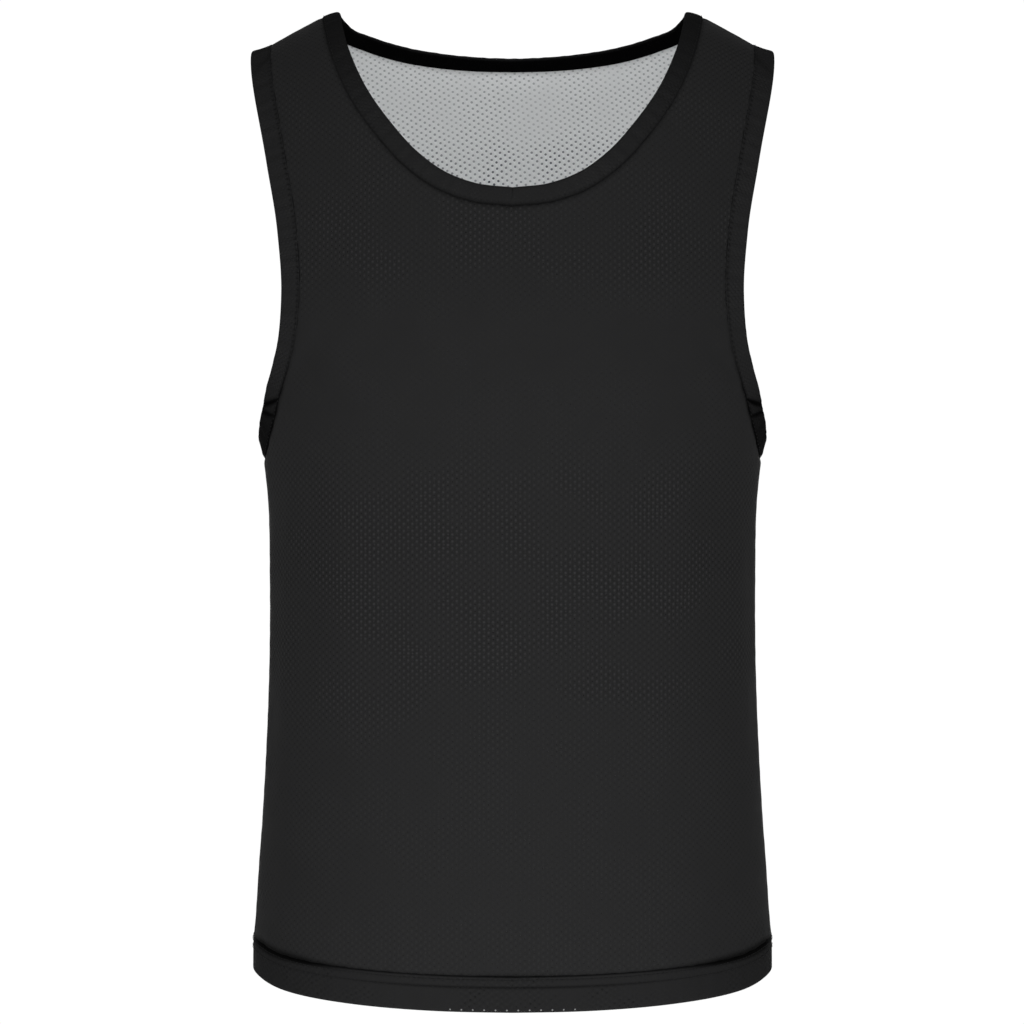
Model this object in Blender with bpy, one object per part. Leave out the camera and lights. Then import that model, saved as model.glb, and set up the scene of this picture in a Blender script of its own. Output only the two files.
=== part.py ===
"""Training bib: a sleeveless vest of two mesh layers with bound neck and armholes and turned-up hems.

Units are metres, +Z is up and the wearer faces -Y. The origin lies midway between the two high
shoulder points, where the neck seam crosses the top of the shoulders. The cloth keeps the hollow
form that it has when worn, open at the neck, at both armholes and at the hem.

The outer face of the cloth is one surface. A point on it is given by the panel (front or back), the
angle from that panel's centre line round to the side seam, and the level. Every seam is a line on
this surface, and every piece is a wall at its own depth under it.
"""

import math
from typing import NamedTuple

import bpy
import numpy as np

# ---------------------------------------------------------------- general form
CHEST_Z = -0.270         # above this level the cloth curves over to the shoulder line
SHOULDER_Y = 0.012       # the shoulder line lies behind the side seams by this much
SHOULDER_FALL = 0.630    # fall of the shoulder line per unit of width, far from the neck
SHOULDER_ROUND = 0.100   # width over which the shoulder line levels out towards the neck

FRONT, BACK = "front", "back"
SHOULDER_FULLNESS = {FRONT: 2.40, BACK: 2.10}   # 2 turns over like an ellipse, more is rounder


class BodySection(NamedTuple):
    """Level section of the outer face: a rounded oval with its own front and back depth."""

    level: float
    half_width: float
    front_depth: float
    back_depth: float
    squareness: float    # 2 is an ellipse, more is squarer


BODY_SECTIONS = (
    BodySection(level=-0.7200, half_width=0.1846, front_depth=0.1285, back_depth=0.1240, squareness=2.30),
    BodySection(level=-0.6600, half_width=0.1846, front_depth=0.1275, back_depth=0.1225, squareness=2.30),
    BodySection(level=-0.6200, half_width=0.1826, front_depth=0.1255, back_depth=0.1185, squareness=2.30),
    BodySection(level=-0.5750, half_width=0.1794, front_depth=0.1230, back_depth=0.1130, squareness=2.30),
    BodySection(level=-0.5200, half_width=0.1764, front_depth=0.1210, back_depth=0.1075, squareness=2.30),
    BodySection(level=-0.4600, half_width=0.1744, front_depth=0.1205, back_depth=0.1050, squareness=2.30),
    BodySection(level=-0.4000, half_width=0.1742, front_depth=0.1225, back_depth=0.1075, squareness=2.30),
    BodySection(level=-0.3500, half_width=0.1753, front_depth=0.1255, back_depth=0.1125, squareness=2.30),
    BodySection(level=-0.3185, half_width=0.1785, front_depth=0.1280, back_depth=0.1155, squareness=2.30),
    BodySection(level=-0.2700, half_width=0.1865, front_depth=0.1295, back_depth=0.1180, squareness=2.30),
    BodySection(level=-0.2000, half_width=0.2000, front_depth=0.1290, back_depth=0.1180, squareness=2.30),
    BodySection(level=-0.1000, half_width=0.2100, front_depth=0.1285, back_depth=0.1170, squareness=2.30),
    BodySection(level=0.0000, half_width=0.2150, front_depth=0.1280, back_depth=0.1160, squareness=2.30),
)


# ---------------------------------------------------------------- seam lines
class NeckPoint(NamedTuple):
    """Neck seam: distance from the middle and height."""

    half_width: float
    height: float


class ArmholePoint(NamedTuple):
    """Armhole seam: height, and angle from the panel's centre line (90 is the side seam)."""

    height: float
    angle: float


class HemPoint(NamedTuple):
    """Upper edge of the hem: angle from the centre line and height."""

    angle: float
    height: float


SHOULDER_NECK = NeckPoint(half_width=0.1370, height=-0.0010)    # high shoulder point
SHOULDER_TIP_X = 0.1740                                         # armhole seam on the shoulder line

NECK_SEAM = {
    FRONT: (
        NeckPoint(half_width=0.0000, height=-0.1478),
        NeckPoint(half_width=0.0280, height=-0.1444),
        NeckPoint(half_width=0.0540, height=-0.1342),
        NeckPoint(half_width=0.0752, height=-0.1182),
        NeckPoint(half_width=0.0947, height=-0.0960),
        NeckPoint(half_width=0.1130, height=-0.0690),
        NeckPoint(half_width=0.1265, height=-0.0390),
        SHOULDER_NECK,
    ),
    BACK: (
        NeckPoint(half_width=0.0000, height=-0.0315),
        NeckPoint(half_width=0.0285, height=-0.0310),
        NeckPoint(half_width=0.0568, height=-0.0290),
        NeckPoint(half_width=0.0830, height=-0.0250),
        NeckPoint(half_width=0.1085, height=-0.0180),
        NeckPoint(half_width=0.1270, height=-0.0102),
        SHOULDER_NECK,
    ),
}

ARMHOLE_SEAM = {
    FRONT: (
        ArmholePoint(height=-0.3190, angle=90.0),
        ArmholePoint(height=-0.3158, angle=81.5),
        ArmholePoint(height=-0.2985, angle=73.0),
        ArmholePoint(height=-0.2720, angle=65.7),
        ArmholePoint(height=-0.2400, angle=60.0),
        ArmholePoint(height=-0.2050, angle=57.8),
        ArmholePoint(height=-0.1600, angle=58.0),
        ArmholePoint(height=-0.1100, angle=60.3),
        ArmholePoint(height=-0.0620, angle=63.0),
    ),
    BACK: (
        ArmholePoint(height=-0.3190, angle=90.0),
        ArmholePoint(height=-0.3158, angle=81.0),
        ArmholePoint(height=-0.2985, angle=72.0),
        ArmholePoint(height=-0.2720, angle=66.0),
        ArmholePoint(height=-0.2400, angle=61.5),
        ArmholePoint(height=-0.2050, angle=59.5),
        ArmholePoint(height=-0.1600, angle=59.5),
        ArmholePoint(height=-0.1100, angle=61.5),
        ArmholePoint(height=-0.0620, angle=63.8),
    ),
}

HEM_SEAM = (
    HemPoint(angle=0.0, height=-0.6738),
    HemPoint(angle=25.0, height=-0.6729),
    HemPoint(angle=45.0, height=-0.6706),
    HemPoint(angle=65.0, height=-0.6661),
    HemPoint(angle=80.0, height=-0.6602),
    HemPoint(angle=90.0, height=-0.6586),
)

# Where the strap of a panel begins, as a share of the seam's length from its lowest point
STRAP_START_NECK = {FRONT: 0.50, BACK: 0.62}
STRAP_START_ARMHOLE = {FRONT: 0.58, BACK: 0.70}
UNDERARM_END = 0.16      # share of the armhole seam that runs level under the arm


# ---------------------------------------------------------------- cloth and seams
SEAM_GAP = 0.0003        # pieces that are sewn together stand this far apart
PANEL_WALL = 0.0010      # outer mesh layer
LAYER_GAP = 0.0004       # air between the two layers
INNER_WALL = 0.0010      # inner mesh layer
INNER_HEM_LIFT = 0.0050  # the inner layer ends above the lower edge by this much

NECK_BAND_WIDTH = 0.0132
ARMHOLE_BAND_WIDTH = 0.0160
BAND_WALL = 0.0030
BAND_PROUD = 0.0003      # the band's outer face stands this far over the panel

HEM_DEPTH = 0.0243
HEM_WALL = 0.0026
HEM_PROUD = 0.0013       # the folded hem stands this far over the panel


class BandLean(NamedTuple):
    """How far a band bends out of the cloth's face towards its free edge, along its loop."""

    share: float     # of the way round one half of the loop
    degrees: float   # positive bends outwards


NECK_BAND_LEAN = (          # from the front centre over the shoulder to the back centre
    BandLean(share=0.00, degrees=-6.0),
    BandLean(share=0.35, degrees=-6.0),
    BandLean(share=0.62, degrees=-10.0),
    BandLean(share=0.80, degrees=-20.0),
    BandLean(share=1.00, degrees=-26.0),
)
ARMHOLE_BAND_LEAN = (       # from the shoulder down the front, under the arm and up the back
    BandLean(share=0.00, degrees=60.0),
    BandLean(share=0.08, degrees=20.0),
    BandLean(share=0.20, degrees=10.0),
    BandLean(share=0.38, degrees=6.0),
    BandLean(share=0.50, degrees=10.0),
    BandLean(share=0.62, degrees=6.0),
    BandLean(share=0.80, degrees=10.0),
    BandLean(share=0.92, degrees=20.0),
    BandLean(share=1.00, degrees=60.0),
)

# ---------------------------------------------------------------- resolution, in cells
NECK_CELLS = 7           # columns from the centre line to the start of the strap
STRAP_CELLS = 4          # columns across the strap
UNDERARM_CELLS = 3       # columns under the arm
SIDE_CELLS = 9           # rows along the side seam
CHEST_CELLS = 7          # rows from the underarm to the start of the strap
SHOULDER_CELLS = 8       # rows up the strap
CURVE_SAMPLES = 400
SMOOTH_ANGLE = math.radians(40.0)

# ---------------------------------------------------------------- finishes
BLACK_MESH = (0.0170, 0.0170, 0.0180, 1.0)
BLACK_RIB = (0.0120, 0.0120, 0.0125, 1.0)
LIGHT_MESH = (0.5200, 0.5400, 0.5550, 1.0)
MESH_ROUGHNESS = 0.72
RIB_ROUGHNESS = 0.85


# ---------------------------------------------------------------- helpers
def smooth_curve(stations, values, at):
    """Smooth curve through the rows of a table (cubic pieces with shared slopes)."""
    stations = np.asarray(stations, dtype=float)
    values = np.asarray(values, dtype=float)
    at = np.clip(np.asarray(at, dtype=float), stations[0], stations[-1])
    slopes = np.gradient(values, stations)
    cell = np.clip(np.searchsorted(stations, at, side="right") - 1, 0, len(stations) - 2)
    span = stations[cell + 1] - stations[cell]
    t = (at - stations[cell]) / span
    return ((1 + 2 * t) * (1 - t) ** 2 * values[cell] + t * (1 - t) ** 2 * span * slopes[cell]
            + t * t * (3 - 2 * t) * values[cell + 1] + t * t * (t - 1) * span * slopes[cell + 1])


def table_column(table, name):
    return np.array([getattr(row, name) for row in table], dtype=float)


def unit(vectors):
    return vectors / np.linalg.norm(vectors, axis=-1, keepdims=True)


def even_samples(line, start, end, cells):
    """Points at even distances along a dense line, between two shares of its length."""
    steps = np.linalg.norm(np.diff(line, axis=0), axis=1)
    run = np.concatenate([[0.0], np.cumsum(steps)]) / steps.sum()
    wanted = np.linspace(start, end, cells + 1)
    return np.interp(wanted, run, np.arange(len(line), dtype=float))


# ---------------------------------------------------------------- outer face
def shoulder_line_z(x):
    """Height of the shoulder line at a distance from the middle."""
    reach = math.hypot(SHOULDER_NECK.half_width, SHOULDER_ROUND)
    return SHOULDER_NECK.height + SHOULDER_FALL * (reach - np.hypot(x, SHOULDER_ROUND))


def section_point(side, angle, level):
    """Point of the level oval: x, and y before the cloth curves over to the shoulder."""
    levels = table_column(BODY_SECTIONS, "level")
    half_width, front, back, power = (
        smooth_curve(levels, table_column(BODY_SECTIONS, name), level)
        for name in ("half_width", "front_depth", "back_depth", "squareness"))
    depth = front if side == FRONT else back
    radius = ((np.abs(np.sin(angle)) / half_width) ** power
              + (np.abs(np.cos(angle)) / depth) ** power) ** (-1.0 / power)
    outward = -1.0 if side == FRONT else 1.0
    return radius * np.sin(angle), outward * radius * np.cos(angle)


def outer_face(side, angle, level):
    """Points of the outer face. Levels above the chest turn over to the shoulder line at 0."""
    x, y = section_point(side, angle, level)
    turn = 0.5 * math.pi * np.clip((level - CHEST_Z) / -CHEST_Z, 0.0, 1.0)
    power = SHOULDER_FULLNESS[side]
    radius = (np.sin(turn) ** power + np.abs(np.cos(turn)) ** power) ** (-1.0 / power)
    up, out = radius * np.sin(turn), radius * np.cos(turn)
    z = np.where(level > CHEST_Z, CHEST_Z + (shoulder_line_z(x) - CHEST_Z) * up, level)
    y = np.where(level > CHEST_Z, SHOULDER_Y + (y - SHOULDER_Y) * out, y)
    return np.stack([x, y, z], axis=-1)


def outer_normal(side, angle, level):
    """Outward direction of the outer face."""
    step = 1.0e-4
    inside = np.minimum(level, -step)
    across = outer_face(side, angle + step, inside) - outer_face(side, angle - step, inside)
    along = outer_face(side, angle, inside + step) - outer_face(side, angle, inside - step)
    facing = 1.0 if side == FRONT else -1.0
    return unit(facing * np.cross(across, along))


def level_of(side, x, height):
    """Level whose outer face has this height at this distance from the middle."""
    power = SHOULDER_FULLNESS[side]
    up = np.clip((height - CHEST_Z) / (shoulder_line_z(x) - CHEST_Z), 0.0, 1.0)
    turn = np.arctan2(up, (1.0 - up ** power) ** (1.0 / power))
    return np.where(height > CHEST_Z, CHEST_Z - CHEST_Z * turn / (0.5 * math.pi), height)


def angle_of(side, x, level):
    """Angle at which the outer face has this distance from the middle."""
    low, high = np.zeros_like(x), np.full_like(x, 0.5 * math.pi)
    for _ in range(50):
        middle = 0.5 * (low + high)
        inside = section_point(side, middle, level)[0] < x
        low, high = np.where(inside, middle, low), np.where(inside, high, middle)
    return 0.5 * (low + high)


# ---------------------------------------------------------------- seam lines on the face
def neck_line(side):
    """Neck seam from the centre line up to the high shoulder point, as angle and level."""
    table = NECK_SEAM[side]
    width, height = table_column(table, "half_width"), table_column(table, "height")
    run = np.concatenate([[0.0], np.cumsum(np.hypot(np.diff(width), np.diff(height)))])
    at = np.linspace(0.0, run[-1], CURVE_SAMPLES)
    x, z = smooth_curve(run, width, at), smooth_curve(run, height, at)
    level = level_of(side, x, z)
    level[-1] = 0.0
    return np.stack([angle_of(side, x, level), level], axis=-1)


def armhole_line(side):
    """Armhole seam from the side seam up to the shoulder line, as angle and level."""
    table = ARMHOLE_SEAM[side]
    tip_angle = math.degrees(float(angle_of(side, np.array([SHOULDER_TIP_X]), np.array([0.0]))[0]))
    angles = np.radians(np.append(table_column(table, "angle"), tip_angle))
    heights = table_column(table, "height")
    x = section_point(side, angles[:-1], heights)[0]
    levels = np.append(level_of(side, x, heights), 0.0)
    run = np.concatenate([[0.0], np.cumsum(np.hypot(np.diff(angles) * 0.16, np.diff(levels)))])
    at = np.linspace(0.0, run[-1], CURVE_SAMPLES)
    return np.stack([smooth_curve(run, angles, at), smooth_curve(run, levels, at)], axis=-1)


def hem_line():
    """Upper edge of the hem from the centre line to the side seam."""
    angle = np.linspace(0.0, 0.5 * math.pi, CURVE_SAMPLES)
    height = smooth_curve(table_column(HEM_SEAM, "angle"), table_column(HEM_SEAM, "height"),
                          np.degrees(angle))
    return np.stack([angle, height], axis=-1)


def straight_line(start, end):
    share = np.linspace(0.0, 1.0, CURVE_SAMPLES)[:, None]
    return (1.0 - share) * np.asarray(start) + share * np.asarray(end)


def stations_on(side, line, cells, start=0.0, end=1.0):
    """Angle and level at even distances along a line on the outer face."""
    at = even_samples(outer_face(side, line[:, 0], line[:, 1]), start, end, cells)
    index = np.arange(len(line), dtype=float)
    return np.stack([np.interp(at, index, line[:, k]) for k in range(2)], axis=-1)


def filled_patch(bottom, top, left, right):
    """Grid of angle and level that blends four edge lines (rows go from bottom to top)."""
    u = np.linspace(0.0, 1.0, len(bottom))[None, :, None]
    v = np.linspace(0.0, 1.0, len(left))[:, None, None]
    edges = ((1 - v) * bottom[None] + v * top[None]
             + (1 - u) * left[:, None] + u * right[:, None])
    corners = ((1 - u) * (1 - v) * bottom[0] + u * (1 - v) * bottom[-1]
               + (1 - u) * v * top[0] + u * v * top[-1])
    return edges - corners


class HalfPanel(NamedTuple):
    """The half of a panel right of its centre line, as grids of angle and level."""

    skirt: np.ndarray    # hem to underarm
    chest: np.ndarray    # underarm to the start of the strap
    strap: np.ndarray    # up to the shoulder line


def half_panel(side, hem_drop=0.0):
    """Grids of one half. Rows go upwards, columns from the centre line outwards.

    A hem drop adds one row below the hem's upper edge.
    """
    neck, armhole, hem = neck_line(side), armhole_line(side), hem_line()
    neck_start, arm_start = STRAP_START_NECK[side], STRAP_START_ARMHOLE[side]
    neck_low = stations_on(side, neck, NECK_CELLS, 0.0, neck_start)
    neck_high = stations_on(side, neck, SHOULDER_CELLS, neck_start, 1.0)
    arm_under = stations_on(side, armhole, UNDERARM_CELLS, 0.0, UNDERARM_END)
    arm_low = stations_on(side, armhole, CHEST_CELLS, UNDERARM_END, arm_start)
    arm_high = stations_on(side, armhole, SHOULDER_CELLS, arm_start, 1.0)
    strap_foot = stations_on(side, straight_line(neck_low[-1], arm_low[-1]), STRAP_CELLS)
    shoulder = stations_on(side, straight_line(neck_high[-1], arm_high[-1]), STRAP_CELLS)
    centre = np.array([0.0, arm_under[0, 1]])
    chest_foot = stations_on(side, straight_line(centre, arm_under[-1]), NECK_CELLS + STRAP_CELLS)

    skirt = filled_patch(
        bottom=stations_on(side, hem, NECK_CELLS + STRAP_CELLS + UNDERARM_CELLS),
        top=np.concatenate([chest_foot, arm_under[-2::-1]]),
        left=stations_on(side, straight_line(hem[0], centre), SIDE_CELLS),
        right=stations_on(side, straight_line(hem[-1], arm_under[0]), SIDE_CELLS))
    if hem_drop:
        skirt = np.concatenate([skirt[:1] - np.array([0.0, hem_drop]), skirt])
    chest = filled_patch(
        bottom=chest_foot,
        top=np.concatenate([neck_low, strap_foot[1:]]),
        left=stations_on(side, straight_line(centre, neck_low[0]), CHEST_CELLS),
        right=arm_low)
    strap = filled_patch(bottom=strap_foot, top=shoulder, left=neck_high, right=arm_high)
    return HalfPanel(skirt=skirt, chest=chest, strap=strap)


# ---------------------------------------------------------------- meshes
def grid_quads(numbers):
    """Quads of a grid of vertex numbers, wound so that columns to the right face the front."""
    return np.stack([numbers[:-1, :-1], numbers[:-1, 1:], numbers[1:, 1:], numbers[1:, :-1]],
                    axis=-1).reshape(-1, 4)


def short_triangles(quads, points):
    """Splits each quad along its shorter diagonal."""
    first = np.linalg.norm(points[quads[:, 0]] - points[quads[:, 2]], axis=1)
    second = np.linalg.norm(points[quads[:, 1]] - points[quads[:, 3]], axis=1)
    quads = np.where((first <= second + 1.0e-6)[:, None], quads, np.roll(quads, -1, axis=1))
    return np.concatenate([quads[:, [0, 1, 2]], quads[:, [0, 2, 3]]])


def open_edges(triangles):
    """Directed edges that only one face uses."""
    edges = np.concatenate([triangles[:, [k, (k + 1) % 3]] for k in range(3)])
    used = {tuple(edge) for edge in edges.tolist()}
    return [edge for edge in sorted(used) if (edge[1], edge[0]) not in used]


def wall_faces(triangles, count):
    """Closes a sheet and its copy (numbered on by count) into one wall with rims."""
    inner = triangles[:, ::-1] + count
    rims = [(b, a, a + count, b + count) for a, b in open_edges(triangles)]
    return triangles.tolist() + inner.tolist() + rims


def add_piece(name, points, faces, colour, roughness):
    """Named object with its own finish, shaded smooth apart from its rims."""
    mesh = bpy.data.meshes.new(name)
    mesh.from_pydata(np.asarray(points).tolist(), [], [list(map(int, face)) for face in faces])
    mesh.validate()
    mesh.update()
    mesh.shade_smooth()
    mesh.set_sharp_from_angle(angle=SMOOTH_ANGLE)
    finish = bpy.data.materials.new(name + "_cloth")
    finish.use_nodes = True
    shader = finish.node_tree.nodes["Principled BSDF"]
    shader.inputs["Base Color"].default_value = colour
    shader.inputs["Roughness"].default_value = roughness
    shader.inputs["Metallic"].default_value = 0.0
    mesh.materials.append(finish)
    piece = bpy.data.objects.new(name, mesh)
    bpy.context.scene.collection.objects.link(piece)
    return piece


# ---------------------------------------------------------------- panels
def mirrored(grid):
    """The grid with its mirror image on the other side of the centre line."""
    other = grid[:, :0:-1] * np.array([-1.0, 1.0])
    return np.concatenate([other, grid], axis=1)


def welded(grids):
    """Vertices that the grids share, once each, and the vertex numbers of each grid."""
    spots = np.concatenate([grid.reshape(-1, 2) for grid in grids]) + 0.0
    _, first, numbers = np.unique(np.round(spots, 9) + 0.0, axis=0, return_index=True,
                                  return_inverse=True)
    numbers = numbers.reshape(-1)
    ends = np.cumsum([grid.shape[0] * grid.shape[1] for grid in grids])
    ids = [block.reshape(grid.shape[:2]) for block, grid in zip(np.split(numbers, ends[:-1]), grids)]
    return spots[first], ids


def make_panel(name, side, outer_depth, wall, hem_drop, colour):
    """One mesh panel: a wall at a depth under the outer face, cut to its seams."""
    half = half_panel(side, hem_drop)
    left_strap = half.strap[:, ::-1] * np.array([-1.0, 1.0])
    spots, grids = welded([mirrored(half.skirt), mirrored(half.chest), half.strap, left_strap])
    face = outer_face(side, spots[:, 0], spots[:, 1])
    normal = outer_normal(side, spots[:, 0], spots[:, 1])
    half_gap = 0.5 * SEAM_GAP * (-1.0 if side == FRONT else 1.0)
    sheets = [face - depth * normal for depth in (outer_depth, outer_depth + wall)]
    side_seams = grids[0][:, [0, -1]]
    shoulders = np.concatenate([grids[2][-1], grids[3][-1]])
    for sheet in sheets:
        sheet[side_seams, 1] = half_gap
        sheet[shoulders, 1] = SHOULDER_Y + half_gap
    quads = np.concatenate([grid_quads(ids) for ids in grids])
    if side == BACK:
        quads = quads[:, ::-1]
    faces = wall_faces(short_triangles(quads, face), len(spots))
    return add_piece(name, np.concatenate(sheets), faces, colour, MESH_ROUGHNESS)


# ---------------------------------------------------------------- bands and hems
def band_section(width, lean):
    """Section of a bound edge: distance from the seam and height over the panel.

    The band bends steadily from the seam to its free edge, which is rounded.
    """
    low, high = BAND_PROUD - BAND_WALL, BAND_PROUD
    middle, half = 0.5 * (low + high), 0.5 * BAND_WALL
    crown = (
        (SEAM_GAP, 0.80), (0.20 * width, 0.98), (0.52 * width, 1.00),
        (0.86 * width, 0.82), (1.00 * width, 0.00))
    outline = [(reach, rise) for reach, rise in crown]
    outline += [(reach, -rise) for reach, rise in reversed(crown[:-1])]
    reach = np.array([spot[0] for spot in outline])
    rise = np.array([spot[1] for spot in outline]) * half
    bend = np.asarray(lean)[:, None] * (reach - SEAM_GAP)[None] / width
    travelled = (reach - SEAM_GAP)[None] * np.sinc(0.5 * bend / math.pi)
    along = SEAM_GAP + travelled * np.cos(0.5 * bend) - rise * np.sin(bend)
    height = middle + travelled * np.sin(0.5 * bend) + rise * np.cos(bend)
    return along, height


def ring_faces(path_count, section_count, closed):
    """Faces of a section carried along a path, closed in a loop or capped at its ends."""
    steps = path_count if closed else path_count - 1
    ids = np.arange(path_count * section_count).reshape(path_count, section_count)
    ids = np.vstack([ids, ids[:1]]) if closed else ids
    ids = np.hstack([ids, ids[:, :1]])
    quads = np.stack([ids[:steps, :-1], ids[1:steps + 1, :-1], ids[1:steps + 1, 1:], ids[:steps, 1:]],
                     axis=-1).reshape(-1, 4).tolist()
    if not closed:
        quads.append(list(range(section_count)))
        quads.append([(path_count - 1) * section_count + k for k in range(section_count)][::-1])
    return quads


def seam_points(side, grid_edge):
    """Points and normals of the outer face along one edge of a panel."""
    return outer_face(side, grid_edge[:, 0], grid_edge[:, 1]), \
        outer_normal(side, grid_edge[:, 0], grid_edge[:, 1])


def neck_edge(side):
    """The neck seam of one half: centre line to high shoulder point."""
    half = half_panel(side)
    return np.concatenate([half.chest[-1, :NECK_CELLS + 1], half.strap[1:, 0]])


def armhole_edge(side):
    """The armhole seam of one half: side seam to shoulder line."""
    half = half_panel(side)
    under = half.skirt[-1, :-UNDERARM_CELLS - 2:-1]
    return np.concatenate([under, half.chest[1:, -1], half.strap[1:, -1]])


def carried_band(points, normals, width, lean):
    """Vertices of a band whose section is carried round a closed seam."""
    along_path = unit(np.roll(points, -1, axis=0) - np.roll(points, 1, axis=0))
    away = unit(np.cross(normals, along_path))
    reach, height = band_section(width, lean)
    return (points[:, None] + reach[..., None] * away[:, None]
            + height[..., None] * normals[:, None]).reshape(-1, 3)


def lean_along(points, table, halves):
    """Lean of the band at each point of a closed loop, from a table by share of its way."""
    steps = np.linalg.norm(np.roll(points, -1, axis=0) - points, axis=1)
    run = np.concatenate([[0.0], np.cumsum(steps)[:-1]]) / steps.sum()
    share = 1.0 - np.abs(1.0 - 2.0 * run) if halves else run
    return np.radians(smooth_curve(table_column(table, "share"), table_column(table, "degrees"), share))


def make_neck_band():
    """Bound neck edge, one closed loop from the front over both shoulders to the back."""
    front, front_normal = seam_points(FRONT, neck_edge(FRONT))
    back, back_normal = seam_points(BACK, neck_edge(BACK))
    right = np.concatenate([front, back[-2::-1]])
    right_normal = np.concatenate([front_normal, back_normal[-2::-1]])
    flip = np.array([-1.0, 1.0, 1.0])
    points = np.concatenate([right, right[-2:0:-1] * flip])
    normals = np.concatenate([right_normal, right_normal[-2:0:-1] * flip])
    lean = lean_along(points, NECK_BAND_LEAN, halves=True)
    vertices = carried_band(points, normals, NECK_BAND_WIDTH, lean)
    section_count = len(vertices) // len(points)
    faces = ring_faces(len(points), section_count, closed=True)
    return add_piece("neck_band", vertices, faces, BLACK_RIB, RIB_ROUGHNESS)


def make_armhole_band(name, flip_x):
    """Bound armhole edge, one closed loop; the left one is the right one mirrored."""
    front, front_normal = seam_points(FRONT, armhole_edge(FRONT))
    back, back_normal = seam_points(BACK, armhole_edge(BACK))
    points = np.concatenate([front[::-1], back[1:-1]])
    normals = np.concatenate([front_normal[::-1], back_normal[1:-1]])
    lean = lean_along(points, ARMHOLE_BAND_LEAN, halves=False)
    vertices = carried_band(points, normals, ARMHOLE_BAND_WIDTH, lean)
    section_count = len(vertices) // len(points)
    faces = ring_faces(len(points), section_count, closed=True)
    if flip_x:
        vertices = vertices * np.array([-1.0, 1.0, 1.0])
        faces = [face[::-1] for face in faces]
    return add_piece(name, vertices, faces, BLACK_RIB, RIB_ROUGHNESS)


def hem_section():
    """Section of the turned-up hem: distance below its upper edge and height over the panel."""
    inside = HEM_PROUD - HEM_WALL
    return (
        (SEAM_GAP, 0.55 * HEM_PROUD),
        (0.16 * HEM_DEPTH, HEM_PROUD),
        (0.88 * HEM_DEPTH, HEM_PROUD),
        (0.97 * HEM_DEPTH, HEM_PROUD - 0.25 * HEM_WALL),
        (HEM_DEPTH, HEM_PROUD - 0.50 * HEM_WALL),
        (0.97 * HEM_DEPTH, HEM_PROUD - 0.78 * HEM_WALL),
        (0.88 * HEM_DEPTH, inside),
        (SEAM_GAP, inside))


def make_hem(name, side):
    """Folded hem of one panel, from side seam to side seam."""
    edge = mirrored(half_panel(side).skirt[:1])[0]
    points, normals = seam_points(side, edge)
    lower = outer_face(side, edge[:, 0], edge[:, 1] - HEM_DEPTH)
    down = unit(lower - points)
    section = np.array(hem_section())
    vertices = (points[:, None] + section[None, :, :1] * down[:, None]
                + section[None, :, 1:] * normals[:, None])
    half_gap = 0.5 * SEAM_GAP * (-1.0 if side == FRONT else 1.0)
    vertices[[0, -1], :, 1] = half_gap
    faces = ring_faces(len(points), len(section), closed=False)
    if side == FRONT:
        faces = [face[::-1] for face in faces]
    return add_piece(name, vertices.reshape(-1, 3), faces, BLACK_MESH, MESH_ROUGHNESS)


def main():
    for item in list(bpy.data.objects):
        bpy.data.objects.remove(item, do_unlink=True)
    inner_depth = PANEL_WALL + LAYER_GAP
    inner_drop = HEM_DEPTH - INNER_HEM_LIFT
    make_panel("front_panel", FRONT, 0.0, PANEL_WALL, 0.0, BLACK_MESH)
    make_panel("back_panel", BACK, 0.0, PANEL_WALL, 0.0, BLACK_MESH)
    make_panel("front_inner_layer", FRONT, inner_depth, INNER_WALL, inner_drop, LIGHT_MESH)
    make_panel("back_inner_layer", BACK, inner_depth, INNER_WALL, inner_drop, LIGHT_MESH)
    make_neck_band()
    make_armhole_band("armhole_band_left", flip_x=False)
    make_armhole_band("armhole_band_right", flip_x=True)
    make_hem("front_hem", FRONT)
    make_hem("back_hem", BACK)


main()
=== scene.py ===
"""Looks of the training bib: eyelet mesh in two layers, bound edges, folded hems, thread, light and camera.

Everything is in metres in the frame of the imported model: +Z is up, the wearer faces -Y, and the
origin lies midway between the two high shoulder points. The cloth is one surface, BodyForm. A point
on it is given by a side (front or back), the angle from that side's centre line, and the level.
Each piece is a shell or a carried section on that surface, moved out or in by its own depth.
"""

import logging
import math
from dataclasses import dataclass, field, fields
from enum import Enum

import bpy
import numpy as np
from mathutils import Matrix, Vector

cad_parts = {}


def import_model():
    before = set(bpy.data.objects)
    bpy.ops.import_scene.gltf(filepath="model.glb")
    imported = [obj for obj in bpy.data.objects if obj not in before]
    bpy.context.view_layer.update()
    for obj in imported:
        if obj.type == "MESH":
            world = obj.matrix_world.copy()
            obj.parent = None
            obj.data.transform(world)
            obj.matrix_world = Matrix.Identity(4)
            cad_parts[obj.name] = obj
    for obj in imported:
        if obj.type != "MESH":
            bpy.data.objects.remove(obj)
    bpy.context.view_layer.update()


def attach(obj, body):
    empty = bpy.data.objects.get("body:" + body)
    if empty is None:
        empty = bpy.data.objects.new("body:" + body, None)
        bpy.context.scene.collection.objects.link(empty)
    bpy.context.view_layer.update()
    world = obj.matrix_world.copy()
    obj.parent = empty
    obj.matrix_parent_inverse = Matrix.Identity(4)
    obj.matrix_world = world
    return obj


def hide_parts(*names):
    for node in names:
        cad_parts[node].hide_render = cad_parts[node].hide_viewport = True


LOG = logging.getLogger("training_bib")
Array = np.ndarray
BODY = "root"
TURN = 2.0 * math.pi
QUARTER_TURN = 0.5 * math.pi


class Side(Enum):
    """The two halves of the bib. The value is the sign of Y on that half."""

    FRONT = -1.0
    BACK = 1.0


class Layer(Enum):
    """The two layers of mesh."""

    OUTER = "outer"
    INNER = "inner"


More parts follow.
